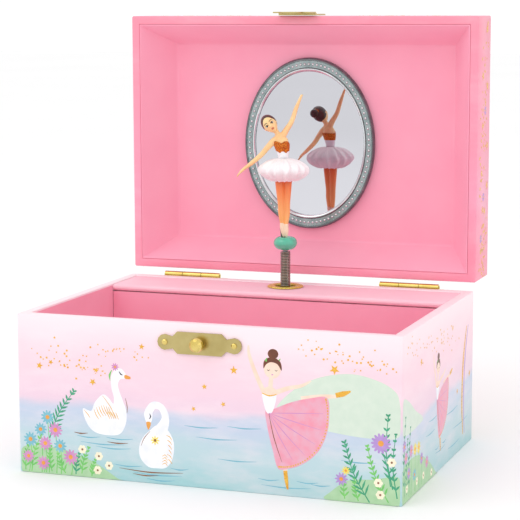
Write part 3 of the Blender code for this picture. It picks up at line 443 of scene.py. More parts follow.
# Camera, light, floor ---------------------------------------------------------------------------


def camera():
    """The photo's camera, fitted to the edges of the box."""
    azimuth = math.radians(19.90)
    elevation = math.radians(8.08)
    distance = 744.2 * MM
    target = Vector((3.04, 0, 82.6)) * MM
    flat = math.cos(elevation)
    back = Vector((math.sin(azimuth) * flat, -math.cos(azimuth) * flat, math.sin(elevation)))
    data = bpy.data.cameras.new("camera")
    data.lens = 124.75
    data.sensor_width = 36
    data.clip_start = 0.02
    obj = add_object("camera", data)
    turn = back.to_track_quat("Z", "Y").to_matrix().to_4x4()
    roll = Matrix.Rotation(math.radians(-0.17), 4, "Z")
    obj.matrix_world = Matrix.Translation(target + back * distance) @ turn @ roll
    bpy.context.scene.camera = obj


def area_light(name, place, size, power):
    """A white rectangular light, turned to the middle of the box."""
    data = bpy.data.lights.new(name, "AREA")
    data.shape = "RECTANGLE"
    data.size, data.size_y = size
    data.energy = power
    direction = Vector(place) - Vector((0, 0, 0.08))
    turn = direction.to_track_quat("Z", "Y").to_matrix().to_4x4()
    add_object(name, data).matrix_world = Matrix.Translation(place) @ turn


def studio():
    """White surroundings, two soft lights and a matt floor."""
    world = bpy.data.worlds.new("studio")
    bpy.context.scene.world = world
    world.use_nodes = True
    background = world.node_tree.nodes["Background"]
    background.inputs["Color"].default_value = (1, 1, 1, 1)
    background.inputs["Strength"].default_value = 1.05
    area_light("key", (-0.55, -0.75, 1.05), (0.9, 0.9), 2.2)
    area_light("fill", (0.9, -0.9, 0.5), (0.9, 0.7), 0.6)
    bm = bmesh.new()
    bmesh.ops.create_grid(bm, x_segments=1, y_segments=1, size=6)
    floor = mesh_object("floor", bm)
    floor.data.materials.append(
        surface("floor_paint", (250, 250, 250), (248, 248, 248), 0.9, 2, 60, 0.01)
    )
    bpy.context.scene.view_settings.view_transform = "Standard"


# Case and lid -----------------------------------------------------------------------------------


def cutter_rod(start, length, radius, along_y=False):
    """A rod that stands on its start, or lies along Y from it."""
    bm = bmesh.new()
    bmesh.ops.create_cone(
        bm, cap_ends=True, segments=28, radius1=radius * MM, radius2=radius * MM, depth=length * MM
    )
    bmesh.ops.translate(bm, vec=(0, 0, length / 2 * MM), verts=bm.verts)
    if along_y:
        bmesh.ops.rotate(bm, matrix=Matrix.Rotation(math.radians(-90), 3, "X"), verts=bm.verts)
    bmesh.ops.translate(bm, vec=Vector(start) * MM, verts=bm.verts)
    return bm


def cutter_block(middle, size):
    bm = bmesh.new()
    bmesh.ops.create_cube(bm, size=1)
    bmesh.ops.scale(bm, vec=Vector(size) * MM, verts=bm.verts)
    bmesh.ops.translate(bm, vec=Vector(middle) * MM, verts=bm.verts)
    return bm


def cut_out(obj, bm):
    """Takes a bmesh solid out of a piece and drops the cutter."""
    bmesh.ops.recalc_face_normals(bm, faces=bm.faces)
    cutter = mesh_object("cutter", bm)
    modifier = obj.modifiers.new("cut", "BOOLEAN")
    modifier.operation = "DIFFERENCE"
    modifier.solver = "EXACT"
    modifier.object = cutter
    apply_modifiers(obj)
    bpy.data.objects.remove(cutter, do_unlink=True)


def base_shell():
    """The four base walls as one paper-wrapped ring with eased edges."""
    profile = [
        (0.5, 0), (0.15, 0.12), (0, 0.5), (0, BASE_TOP - 0.6), (0.18, BASE_TOP - 0.15),
        (0.6, BASE_TOP), (WALL - 0.6, BASE_TOP), (WALL - 0.18, BASE_TOP - 0.15),
        (WALL, BASE_TOP - 0.6), (WALL, 0),
    ]
    loops = inset_rings(profile, HALF_W, HALF_D, lambda u, v, height: (u, v, height))
    shell = lofted("base_paper_wrap", loops, None, PAPER, closed=True)
    key_x, _, key_z = middle_of("winding_arbor")
    stop_x = middle_of("stop_wire")[0]
    stop_y = corners("stop_wire")[1][1] - 0.8
    cut_out(shell, cutter_rod((key_x, HALF_D - 8, key_z), CUT_DEEP, KEY_HOLE, along_y=True))
    cut_out(shell, cutter_rod((stop_x, stop_y, 56), CUT_DEEP, STOP_HOLE))
    cut_out(shell, cutter_block((stop_x, stop_y - 1, 57.5), STOP_GROOVE))
    shell.data.set_sharp_from_angle(angle=math.radians(40))
    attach(shell, "case")
    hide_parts("base_front_wall", "base_rear_wall", "base_left_wall", "base_right_wall")


def compartment_liner():
    """Deep pink liner on the front and side walls of the jewellery compartment."""
    outer_u, outer_v = HALF_W - WALL, HALF_D - WALL
    inner_u, inner_v = outer_u - LINER, outer_v - LINER
    back = corners("partition")[0][1] - 0.1
    outline = [
        (-outer_u, back), (-outer_u, -outer_v), (outer_u, -outer_v), (outer_u, back),
        (inner_u, back), (inner_u, -inner_v), (-inner_u, -inner_v), (-inner_u, back),
    ]
    loops = [[(u, v, z) for u, v in outline] for z in (4.9, BASE_TOP - 0.75)]
    lofted("compartment_liner", loops, "case", DEEP_LINING, smooth=False)


def lid_shell():
    """Lid board and walls as one paper-wrapped tray, standing open."""
    profile = [
        (0.9, LID_BACK), (0.3, LID_BACK - 0.12), (0, LID_BACK - 0.6), (0, LID_RIM + 0.6),
        (0.18, LID_RIM + 0.15), (0.6, LID_RIM), (LID_WALL - 0.5, LID_RIM),
        (LID_WALL - 0.12, LID_RIM + 0.1), (LID_WALL, LID_RIM + 0.4), (LID_WALL, BOARD_FRONT),
    ]
    loops = inset_rings(profile, HALF_W, LID_HALF, lambda u, v, depth: (u, depth, LID_MIDDLE + v))
    shell = lofted("lid_paper_wrap", loops, "lid", LID_PAPER)
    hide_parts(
        "lid_board", "lid_front_wall", "lid_rear_wall", "lid_left_wall", "lid_right_wall"
    )


def lid_tray():
    """Sloping lining and flat panel of the lid, one folded paper tray."""
    half_u = HALF_W - LID_WALL - TRAY_FIT
    half_v = LID_HALF - LID_WALL - TRAY_FIT
    rim = LID_RIM + TRAY_FIT
    stations = [
        (0, 0, BOARD_FRONT - 0.35), (0, 0, rim + 0.3), (0.1, 0.1, rim + 0.06), (0.35, 0.35, rim),
        (0.6, 0.6, rim + 0.25), (TRAY_SLOPE_U - 0.5, TRAY_SLOPE_V - 0.4, PANEL_FRONT - 0.75),
        (TRAY_SLOPE_U, TRAY_SLOPE_V, PANEL_FRONT - 0.22),
        (TRAY_SLOPE_U + 0.8, TRAY_SLOPE_V + 0.8, PANEL_FRONT),
    ]
    loops = []
    for in_u, in_v, depth in stations:
        ring = rounded_rectangle(half_u - in_u, half_v - in_v, 0.25, 2)
        loops.append([(u, depth, LID_MIDDLE + v) for u, v in ring])
    tray = lofted("lid_lining_tray", loops, "lid", LINING)
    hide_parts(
        "lid_panel", "lid_lining_left", "lid_lining_right", "lid_lining_rear",
        "lid_lining_front",
    )


def mirror():
    """Beaded oval frame round the glass."""
    (low_x, _, low_z), (high_x, back, high_z) = corners("mirror_frame")
    mid_x, mid_z = (low_x + high_x) / 2, (low_z + high_z) / 2
    half = (high_x - low_x) / 2
    stretch = (high_z - low_z) / 2 / half
    profile = [
        (0, 0), (0, -1.5), (0.15, -2.15), (0.55, -2.5), (0.95, -2.45), (1.1, -2.05), (3.5, -2),
        (3.62, -2.35), (3.9, -2.55), (4.3, -2.5), (4.75, -2), (4.9, -1.5), (3.1, -1.5), (3.1, 0),
    ]
    loops = []
    for inset, depth in profile:
        reach = half - inset
        loops.append([
            (mid_x + reach * cos, back + depth, mid_z + reach * sin * stretch) for cos, sin in circle(96)
        ])
    ring = lofted("mirror_frame_ring", loops, "lid", SILVER, closed=True)
    ring.data.materials.append(SILVER_DARK)
    ring.data.materials.append(POLISHED)
    for polygon in ring.data.polygons:
        centre = polygon.center / MM
        inset = half - math.hypot(centre.x - mid_x, (centre.z - mid_z) / stretch)
        if inset < 1.0 or 3.5 < inset <= 3.95:
            polygon.material_index = 1
        elif inset > 3.95:
            polygon.material_index = 2
    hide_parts("mirror_frame")

    bm = bmesh.new()
    reach = half - BEAD_INSET
    for cos, sin in circle(BEADS):
        place = Vector((mid_x + reach * cos, back - BEAD_FRONT, mid_z + reach * sin * stretch))
        bmesh.ops.create_icosphere(
            bm, subdivisions=2, radius=BEAD_RADIUS * MM, matrix=Matrix.Translation(place * MM)
        )
    piece("mirror_frame_beads", bm, "lid", POLISHED)


# Print and foil ---------------------------------------------------------------------------------

# Each ink: two close shades and its layer, counted from the paper up. Foil lies on top.
INKS = {
    "hill_green": ((216, 229, 214), (208, 224, 208), 0),
    "mound_green": ((182, 214, 174), (166, 206, 160), 1),
    "ripple": ((126, 188, 206), (112, 176, 198), 1),
    "white": ((252, 250, 252), (238, 240, 248), 2),
    "leaf_dark": ((66, 168, 128), (52, 148, 110), 2),
    "leaf_light": ((128, 206, 110), (104, 190, 96), 2),
    "skin": ((252, 226, 208), (248, 212, 190), 2),
    "skirt": ((240, 150, 172), (232, 176, 196), 3),
    "cream": ((250, 244, 220), (246, 236, 206), 3),
    "petal_pink": ((216, 150, 200), (204, 136, 190), 3),
    "petal_teal": ((132, 194, 208), (118, 182, 200), 3),
    "petal_lilac": ((188, 152, 214), (174, 138, 204), 3),
    "petal_yellow": ((246, 226, 104), (240, 214, 84), 3),
    "hair": ((122, 66, 38), (98, 50, 28), 4),
    "line": ((150, 96, 60), (128, 80, 48), 5),
    "dark": ((52, 48, 56), (44, 40, 48), 5),
    "centre": ((240, 168, 76), (228, 150, 60), 5),
}
FOIL_LAYER = 6
# Heights in mm above the paper. Each plate of a layer stands a hair above the last, up to the
# ninth, so that plates that overlap never lie in one plane.
FIRST_LAYER, LAYER_STEP, PLATE_STEP, PLATE_CYCLE = 0.015, 0.008, 0.0008, 9
SUNK = 0.02
INK_MATERIALS = {}


def ink_material(ink):
    """The material of an ink or of the foil, made once."""
    if ink == "gold":
        return FOIL
    if ink not in INK_MATERIALS:
        first, second, _ = INKS[ink]
        INK_MATERIALS[ink] = surface(f"ink_{ink}", first, second, 0.42, 260, 2600, 0.012, coat=0.1)
    return INK_MATERIALS[ink]


STAR_NOTCH = 0.42


class Print:
    """Flat shapes of each ink on one face of the box: place turns (u, v, depth) in mm into a point."""

    def __init__(self, prefix, body, place, limit=79.3, low=0.15):
        self.prefix = prefix
        self.body = body
        self.place = place
        self.limit = limit
        self.low = low
        self.plates = 0
        self.sheets = {}
        self.draw_from()

    def draw_from(self, u=0, v=0, size=1):
        """The shapes that follow are drawn from this point and at this size."""
        self.origin = (u, v, size)

    def plate(self, ink, points, lift=0.0):
        """One flat shape of ink or foil, kept within the page."""
        u0, v0, size = self.origin
        points = [(u0 + size * u, v0 + size * v) for u, v in points]
        points = [(min(max(u, -self.limit), self.limit), max(v, self.low)) for u, v in points]
        self.plates += 1
        bm = self.sheets.setdefault(ink, bmesh.new())
        layer = INKS[ink][2] if ink in INKS else FOIL_LAYER
        top = FIRST_LAYER + LAYER_STEP * layer + PLATE_STEP * (self.plates % PLATE_CYCLE) + lift
        under, over = (
            [bm.verts.new(Vector(self.place(u, v, depth)) * MM) for u, v in points]
            for depth in (-SUNK, top)
        )
        for i, start in enumerate(under):
            j = (i + 1) % len(under)
            bm.faces.new((start, under[j], over[j], over[i]))
        caps = [bm.faces.new(under[::-1]), bm.faces.new(over)]
        for cap in caps:
            cap.normal_update()
        bmesh.ops.triangulate(bm, faces=caps, quad_method="BEAUTY", ngon_method="EAR_CLIP")

    def shape(self, ink, points, steps=5, lift=0.0):
        self.plate(ink, catmull(points, steps, True), lift)

    def disc(self, ink, u, v, radius, sides=12, stretch=1.0, lift=0.0):
        outline = [(u + radius * cos, v + radius * stretch * sin) for cos, sin in circle(sides)]
        self.plate(ink, outline, lift)

    def stroke(self, ink, points, widths, steps=6, lift=0.0):
        """A brush stroke through points, its width easing between the given ones."""
        line = catmull(points, steps)
        last = len(line) - 1
        left, right = [], []
        for index, (u, v) in enumerate(line):
            before, after = line[max(index - 1, 0)], line[min(index + 1, last)]
            du, dv = after[0] - before[0], after[1] - before[1]
            size = math.hypot(du, dv) or 1.0
            share = index / last * (len(widths) - 1)
            whole = min(int(share), len(widths) - 2)
            width = widths[whole] + (widths[whole + 1] - widths[whole]) * (share - whole)
            nu, nv = -dv / size * width / 2, du / size * width / 2
            left.append((u + nu, v + nv))
            right.append((u - nu, v - nv))
        self.plate(ink, left + right[::-1], lift)

    def star(self, u, v, radius, turn=0.0):
        """A five-pointed star of foil."""
        outline = []
        for k in range(10):
            reach = radius * STAR_NOTCH if k % 2 else radius
            angle = math.pi / 2 + turn + math.pi * k / 5
            outline.append((u + reach * math.cos(angle), v + reach * math.sin(angle)))
        self.plate("gold", outline)

    def stars(self, rows, turn):
        for u, v, radius in rows:
            self.star(u, v, radius, turn)

    def flower(self, ink, u, v, radius, petals=11, centre="centre"):
        for k, (cos, sin) in enumerate(circle(petals)):
            petal = [(u + radius * share * cos, v + radius * share * sin) for share in (0, 0.6, 1)]
            self.stroke(ink, petal, (radius * 0.16, radius * 0.34, radius * 0.14), 2, 0.0004 * k)
        self.disc(centre, u, v, radius * 0.3)

    def daisies(self, radius, places):
        for u, v in places:
            for k, (cos, sin) in enumerate(circle(6)):
                petal_u, petal_v = u + radius * 0.55 * cos, v + radius * 0.55 * sin
                self.disc("cream", petal_u, petal_v, radius * 0.42, 8, lift=0.0004 * k)
            self.disc("line", u, v, radius * 0.24, 8)

    def fern(self, ink, foot, tip, leaflets=9, reach=4.2):
        """A curved stem with paired leaflets that shorten towards the tip."""
        du, dv = tip[0] - foot[0], tip[1] - foot[1]
        size = math.hypot(du, dv)
        bow = (foot[0] + du * 0.5 - dv * 0.06, foot[1] + dv * 0.5 + du * 0.06)
        self.stroke(ink, [foot, bow, tip], (0.5, 0.36, 0.2))
        line = catmull([foot, bow, tip], 12)
        for k in range(leaflets):
            share = 0.2 + 0.76 * k / (leaflets - 1)
            u, v = line[int(share * (len(line) - 1))]
            length = reach * (1.05 - 0.75 * share)
            for sign in (-1, 1):
                angle = math.atan2(dv, du) + sign * math.radians(42)
                end = (u + length * math.cos(angle), v + length * math.sin(angle))
                mid = ((u + end[0]) / 2 + 0.08 * du / size, (v + end[1]) / 2 + 0.08 * dv / size)
                self.stroke(ink, [(u, v), mid, end], (0.3, 0.85, 0.1), 3, 0.0005 * k)
        self.stroke(ink, [line[-3], tip], (0.7, 0.15), 3)

    def ferns(self, rows):
        for shade, foot_u, foot_v, tip_u, tip_v, leaflets, reach in rows:
            self.fern(f"leaf_{shade}", (foot_u, foot_v), (tip_u, tip_v), leaflets, reach)

    def stem(self, foot, tip, ink="leaf_light"):
        bow = ((foot[0] + tip[0]) / 2 + 0.5, (foot[1] + tip[1]) / 2)
        self.stroke(ink, [foot, bow, tip], (0.45, 0.3, 0.25))

    def ripples(self, rows, dip=0.5, ink="ripple"):
        """Lines on the water, each from u0 to u1 at height v and dipping in its middle."""
        for u0, u1, v in rows:
            line = [(u0, v), ((u0 + u1) / 2, v - dip), (u1, v + dip * 0.2)]
            self.stroke(ink, line, (0.08, 0.5, 0.08), 7)

    def star_drift(self, seed, start, end, width, count, sizes=(0.22, 0.3, 0.3, 0.42)):
        """Foil dots scattered along a line."""
        rng = random.Random(seed)
        for _ in range(count):
            share = rng.random()
            u = start[0] + (end[0] - start[0]) * share + rng.gauss(0, width)
            v = start[1] + (end[1] - start[1]) * share + rng.gauss(0, width)
            self.disc("gold", u, v, rng.choice(sizes), 8)

    def finish(self):
        """Makes one piece of each ink."""
        for ink, bm in self.sheets.items():
            piece(f"{self.prefix}_{ink}", bm, self.body, ink_material(ink), smooth=False)


FINE = (0.12, 0.3, 0.12)
FEATHER = (0.12, 0.34, 0.12)


def big_swan(page):
    """The swan on the left, with a lifted wing and a flower on its head."""
    body = [
        (-32.6, 43.2), (-34.5, 45.3), (-37.2, 44.8), (-39, 41.6), (-38.9, 37.5), (-37.9, 33.6),
        (-38.2, 31), (-40.4, 33.4), (-42.8, 34.4), (-46.2, 31), (-47.9, 27.4), (-51.4, 28.2),
        (-50.6, 24), (-48.2, 20.2), (-44.5, 18.4), (-38, 18.2), (-34.6, 19.8), (-32.7, 24),
        (-32.6, 28.4), (-34, 32.5), (-35.6, 36.5), (-36, 39.3), (-34.8, 41.2), (-32.9, 41.5),
    ]
    page.shape("white", body)
    page.shape("centre", [(-33, 43), (-30.7, 42.3), (-30.9, 41.4), (-33, 41.5)], 3)
    page.stroke("dark", [(-35.5, 44.2), (-34.8, 43.2), (-34, 42.8)], (0.2, 0.55, 0.2))
    page.stroke("line", [(-32.9, 33.6), (-32.2, 30.2), (-32.3, 27.6)], (0.1, 0.3, 0.1))
    for k in range(7):
        u = -46.6 + 1.05 * k
        v = 28.2 + 0.95 * k - 0.12 * k * k
        page.stroke("gold", [(u, v), (u + 0.9, v - 2.3), (u + 2.1, v - 4)], FEATHER, 4)
    for k in range(5):
        u = -41.0 + 0.95 * k
        page.stroke("gold", [(u, 27.6), (u + 0.7, 26), (u + 1.2, 24.8)], FINE, 4)
    page.stroke("gold", [(-42.8, 33.9), (-39.4, 29.6), (-37.4, 25.2)], FINE)
    page.stroke("gold", [(-51, 27.6), (-49.4, 26), (-48.4, 24.6)], FINE)
    page.flower("petal_pink", -37.2, 45.9, 1.6, 9)
    page.stroke("leaf_light", [(-38.6, 44.6), (-39.6, 42.4), (-39.4, 40.2)], (0.2, 0.8, 0.1))
    page.stroke("leaf_dark", [(-38.2, 42.6), (-38.6, 40.6), (-38, 39)], (0.2, 0.6, 0.1))
    page.ripples(((-54.4, -44, 17), (-41.5, -29.8, 17.2), (-52.5, -33.6, 14.6), (-46, -30.8, 13.2)))
    page.ripples(((-41, -32, 15.4), (-55.5, -49.5, 18.2)), 0.3, "line")


def small_swan(page):
    """The smaller swan, its neck curved down to the left, with a yellow flower on its breast."""
    body = [
        (-19.4, 23.8), (-15.6, 22.6), (-13.2, 19.6), (-12.3, 15.6), (-13.2, 10.4), (-15.8, 7),
        (-19.6, 6.4), (-23.6, 6.8), (-26.8, 10.2), (-27.2, 14.6), (-25.4, 18.6), (-22.4, 21.6),
    ]
    neck = [(-20.4, 18.6), (-17.4, 22.6), (-15.9, 27), (-17.6, 31), (-21, 31.6), (-23.2, 28.6)]
    head = [(-24.9, 28.4), (-23.2, 30.6), (-21.4, 28.6), (-21.8, 25.2), (-23, 23.6), (-24.4, 25.4)]
    page.shape("white", body)
    page.stroke("white", neck, (6.4, 5, 3, 2.8, 3, 3.4), lift=0.004)
    page.shape("white", head, lift=0.006)
    page.shape("centre", [(-24.1, 24.6), (-22.1, 24.6), (-23.2, 21.6)], 3)
    page.stroke("dark", [(-22.6, 28.2), (-22.2, 27), (-22.8, 26)], (0.15, 0.5, 0.15))
    page.stroke("line", [(-22.4, 21.2), (-25, 18.2), (-26.4, 15)], (0.1, 0.3, 0.1))
    for k in range(6):
        v = 20.0 - 1.9 * k
        page.stroke("gold", [(-15.6 + (0.3 * k) % 1, v), (-14.2, v - 0.5), (-13.3, v - 1.8)], FEATHER, 4)
    for k in range(4):
        v = 11.4 - k * 1.1
        page.stroke("gold", [(-17.4, v), (-16.2, v + 0.7), (-15.2, v - 0.4)], FINE, 4)
    page.flower("petal_yellow", -20.4, 17.6, 1.9, 8, "line")
    page.stroke("leaf_dark", [(-21.8, 16.6), (-23, 15.2)], (0.9, 0.2))
    page.stroke("leaf_dark", [(-18.9, 19.2), (-17.6, 20.8)], (0.9, 0.2))
    page.ripples(((-38.5, -26, 6.6), (-14, -6.2, 7), (-30, -9, 4), (-24, -12, 1.9)))
    page.ripples(((-36, -8.5, 5.2),), 0.7, "line")
    page.ripples(((-30, -19, 3.4),), 0.4, "line")


def painted_dancer(page, u0, v0, size):
    """A plain storybook dancer of the maker's own: round head, bun, bell skirt, one leg back."""
    page.draw_from(u0, v0, size)
    arm = (2, 1.7, 1.3, 0.6)
    page.stroke("skin", [(-5.5, 30), (-8.6, 36.5), (-11.4, 44), (-11.8, 48)], arm)
    page.stroke("skin", [(-0.5, 30), (4.5, 32), (10, 33.4), (14, 35.6)], arm)
    page.stroke("skin", [(10, 28), (18, 29.6), (24.5, 30.2)], (2.4, 1.8, 1.2))
    page.stroke("skin", [(2.6, 6), (3.2, 2), (3.6, -3)], (2.4, 1.9, 1.5))
    chest = [(-6, 30.6), (-3, 32.2), (-0.2, 30.6), (-0.8, 27), (-3, 25.6), (-5.4, 27)]
    page.shape("skin", chest)
    page.disc("skin", -1.9, 39.2, 3.5, 20, 1.08, lift=0.004)
    page.stroke("skin", [(-2.4, 35.6), (-2.8, 31)], (1.7, 1.9))
    page.shape("hair", [
        (-5.5, 39.2), (-5.2, 42.4), (-2, 43.9), (1.4, 42.2), (1.9, 38.8), (0.2, 41.2),
        (-2.4, 41.9), (-4.4, 40.9),
    ])
    page.disc("hair", -1.6, 45.2, 2.2, 16, 0.9)
    for u in (-3.5, -0.3):
        page.stroke("dark", [(u - 0.6, 38.9), (u, 38.5), (u + 0.6, 38.9)], (0.08, 0.3, 0.08), 3)
    page.disc("petal_pink", -1.9, 37, 0.4, 8, 0.7)
    for k in range(5):
        leaf = [(-4.6 + 1.3 * k, 42.1 + 0.4 * math.sin(1.6 * k)), (-4.2 + 1.4 * k, 43.5)]
        page.stroke("leaf_light", leaf, (0.9, 0.2), 3, 0.014)
    bodice = [(-6.2, 29.2), (-3.2, 28.2), (-0.2, 29), (-1.2, 24), (-2.6, 21.4), (-4.6, 22.4)]
    page.shape("white", bodice, lift=0.012)
    page.stroke("gold", [(-6.2, 29.4), (-3.2, 28.5), (-0.2, 29.2)], (0.3, 0.5, 0.3))
    page.shape("skirt", [
        (-4.8, 22.4), (-1.8, 23.2), (6, 26.6), (14, 28.8), (20.4, 29.4), (21.4, 23),
        (20.4, 15), (16.8, 7.6), (10.8, 2.4), (4.8, 0), (0.4, -0.2), (-1.8, 7), (-3.6, 14),
    ])
    folds = ((2, 2.4), (6.4, 3.6), (11.4, 6), (15.6, 10.6), (18.2, 16.4), (19, 23))
    for k, (u, v) in enumerate(folds):
        fold = [(-3.4, 21.6), ((u - 3.4) / 2 - 0.6, (v + 21.6) / 2), (u, v)]
        page.stroke("petal_pink" if k else "line", fold, (0.12, 0.36, 0.1), 5, 0.016)
    hem = [(0.8, 0.4), (5, 0.8), (10.6, 3.2), (16.2, 8.2), (19.8, 15.2), (20.8, 23), (20, 28.8)]
    for u, v in catmull(hem, 6):
        page.disc("gold", u, v, 0.34, 8)
    page.stroke("gold", [(24, 30.6), (27, 31.4), (30, 32.6)], (1.8, 2.1, 0.5))
    page.stroke("gold", [(3.4, -1), (3.8, -4.4), (4.4, -8.4)], (1.7, 1.6, 0.7))
    page.draw_from()
    rings = ((-8, 1, -5), (8, 17, -4.8), (-6.6, 14, -7.4))
    page.ripples([(u0 + size * left, u0 + size * right, v0 + size * v) for left, right, v in rings])


GARDEN_EDGE = 79


def left_garden(page):
    """Flowers and ferns rising from a mound in the left corner."""
    page.draw_from(-GARDEN_EDGE)
    page.shape("mound_green", [
        (0, 0.25), (0, 9.6), (8, 11.6), (20, 10.4), (32, 6.6), (42, 0.9), (43, 0.25), (20, 0.22),
    ])
    page.ferns((
        ("dark", 12.6, 15, 23.8, 35, 10, 5), ("light", 4.4, 1, 8.8, 16, 7, 3.6),
        ("light", 1.6, 1, 3.6, 12.6, 6, 3.2), ("light", 13.4, 1.2, 13, 11.4, 6, 3.2),
        ("dark", 24, 1, 25.6, 9.4, 5, 3), ("light", 31, 0.8, 32.6, 7.4, 5, 2.8),
        ("light", 26.6, 1.4, 29.8, 12.2, 6, 3.4), ("light", 19.4, 1, 16.4, 8.6, 5, 3.4),
    ))
    for ink, u, v, radius in (
        ("teal", 11.8, 23.4, 2.9), ("teal", 8.6, 18.2, 2.7), ("teal", 4, 13.8, 3),
        ("teal", 17.2, 12, 2.8), ("pink", 15.2, 18.4, 3.1), ("pink", 10.6, 12.6, 2.9),
        ("pink", 3, 6.8, 2.6), ("pink", 9.6, 4.4, 2.9), ("pink", 21.8, 7.8, 3.2),
    ):
        page.stem((u + 0.3, 0.6), (u, v - 0.6))
        page.flower(f"petal_{ink}", u, v, radius)
    page.daisies(1.9, ((27, 11.4), (34.2, 9.2), (38.6, 5.7), (33.6, 3.4)))
    page.draw_from()


def right_garden(page):
    """Tall ferns, a large lilac flower and daisies in the right corner."""
    page.draw_from(GARDEN_EDGE)
    page.shape("mound_green", [
        (0, 0.25), (0, 11), (-10, 9.6), (-20, 8.4), (-27, 3.4), (-29, 0.25), (-14, 0.22),
    ])
    page.ferns((
        ("dark", -11.6, 0.6, -21.6, 23.4, 11, 5), ("light", -4.2, 1.2, -12.6, 22.6, 10, 3.6),
        ("dark", -2.6, 6.4, -4.4, 35, 10, 4.2), ("dark", -0.8, 3, -1.4, 28, 8, 2.6),
        ("light", -16, 0.8, -17.6, 9.4, 5, 3), ("light", -21.4, 1.2, -21.4, 8.2, 4, 3.2),
    ))
    page.stem((-3.4, 7.4), (-7.2, 22.4), "leaf_dark")
    page.flower("petal_lilac", -7.3, 23.8, 3.9, 14)
    page.flower("petal_yellow", -21, 12.2, 1.7, 9)
    page.flower("petal_lilac", -22.8, 8.8, 2.6, 10)
    page.daisies(1.9, ((-3, 16.8), (-8.2, 8.5), (-7.4, 3.9)))
    page.draw_from()


def print_front():
    """Lake with two swans, a dancer, a garden in each corner and drifts of stars."""
    page = Print("front_print", "case", lambda u, v, d: (u, -HALF_D - d, v))
    page.shape("hill_green", [
        (30, 34), (38, 42.6), (48, 47.6), (60, 49.6), (70, 47.8), (76.5, 44.6), (78.9, 40),
        (78.9, 27), (66, 25.4), (48, 27.2), (36, 29.4),
    ])
    left_garden(page)
    right_garden(page)
    big_swan(page)
    small_swan(page)
    painted_dancer(page, 30.4, 11, 0.98)
    page.star_drift(3, (-72, 50), (-42, 43), 2.4, 46)
    page.star_drift(4, (-44, 52), (-24, 50), 1.6, 22)
    page.star_drift(5, (38, 60), (76, 52), 2.1, 52)
    for u, v, radius in (
        (-70.3, 44.3, 1.5), (-65.3, 46, 1.1), (-47, 39.2, 1.5), (-45.4, 44, 1.1), (53.4, 50.8, 2),
        (12.8, 47.9, 1.7), (-25.7, 54.7, 1.3), (0.6, 40.6, 1.2), (-4, 31.5, 1), (8.4, 34.2, 1.1),
    ):
        page.star(u, v, radius, 0.2 * u)
    page.ripples((
        (-3, 14, 20.4), (6, 22, 12.4), (56, 70, 16), (44, 52, 5.6), (-8, 6, 24.6), (10, 24, 25.6),
    ), 0.4)
    page.finish()


def print_side(name, sign, seed):
    """A side wall: u runs front to rear on the right one (sign 1) and rear to front on the left."""
    page = Print(name, "case", lambda u, v, d: (sign * (HALF_W + d), sign * u, v), 56.3)
    page.shape("hill_green", [(-56, 27), (-56, 40), (-48, 38.6), (-38, 33), (-28, 28.6), (-30, 26.6)])
    page.shape("mound_green", [
        (-56, 0.25), (-56, 13), (-44, 15.4), (-30, 13.6), (-16, 7.4), (-6, 0.9), (-5, 0.25), (-30, 0.22),
    ])
    for u, tall in ((-53.6, 33.6), (-50.4, 24.4), (-46.6, 28.2)):
        page.fern("leaf_dark", (u, 3), (u + 1.4, tall), 8, 3.4)
    for u, v, ink in (
        (-54, 22.4, "lilac"), (-51.6, 17.4, "pink"), (-44.2, 18.6, "pink"), (-38.4, 18, "yellow"),
        (-33, 17.4, "yellow"), (-28.6, 12, "lilac"), (-20.4, 8.6, "pink"), (-47.4, 10.6, "lilac"),
        (-39, 8, "teal"),
    ):
        page.stem((u + 0.4, 1.4), (u, v - 0.8))
        page.flower(f"petal_{ink}", u, v, 2.5, 10)
    page.daisies(1.7, ((-50, 5.2), (-35.4, 4.6), (-25.6, 4.4), (-13, 2.6)))
    painted_dancer(page, -2, 14.2, 0.74)
    page.stroke("gold", [(40, 6), (37.6, 20), (39.2, 38), (44.6, 52)], (0.5, 1.9, 1.9, 0.4), 9)
    page.stroke(
        "petal_lilac", [(42.6, 6), (40.6, 20), (42.2, 38), (47.4, 52)], (0.4, 1.2, 1.2, 0.4), 9
    )
    page.star_drift(seed, (-50, 58), (30, 50), 2.6, 60)
    page.stars(((-30, 50.4, 1.5), (20, 55.2, 1.2), (50.6, 30.4, 1.4), (29, 26.8, 1.2)), 0.3)
    page.ripples(((-18, -4, 24), (10, 30, 20.6), (22, 48, 12.4), (14, 34, 5.6), (-22, -8, 19)), 0.4)
    page.finish()


def print_rear():
    """Lake between the same two gardens, without swans or dancer."""
    page = Print("rear_print", "case", lambda u, v, d: (-u, HALF_D + d, v))
    page.shape("hill_green", [(-79, 28), (-79, 42), (-62, 47), (-44, 43), (-28, 33), (-34, 27.4)])
    left_garden(page)
    right_garden(page)
    page.star_drift(8, (-70, 52), (20, 58), 2.2, 70)
    page.star_drift(9, (20, 58), (74, 48), 2.4, 46)
    page.stars(((-52, 49.8, 1.7), (26, 48.4, 1.6), (54, 40.4, 1.4), (-18, 44, 1.3)), 0.4)
    page.ripples(((-30, -12, 14.6), (12, 32, 18), (-6, 12, 9.4), (-36, -20, 22), (20, 44, 9)))
    page.finish()


# The lid's walls are printed on either side of this depth, which is about their middle.
LID_PAGE_Y = 71.6
LID_PAGE_HALF = 11
LID_DOTS = (0.36, 0.46, 0.6, 0.8)
WREATH_U, WREATH_V = 52, 36


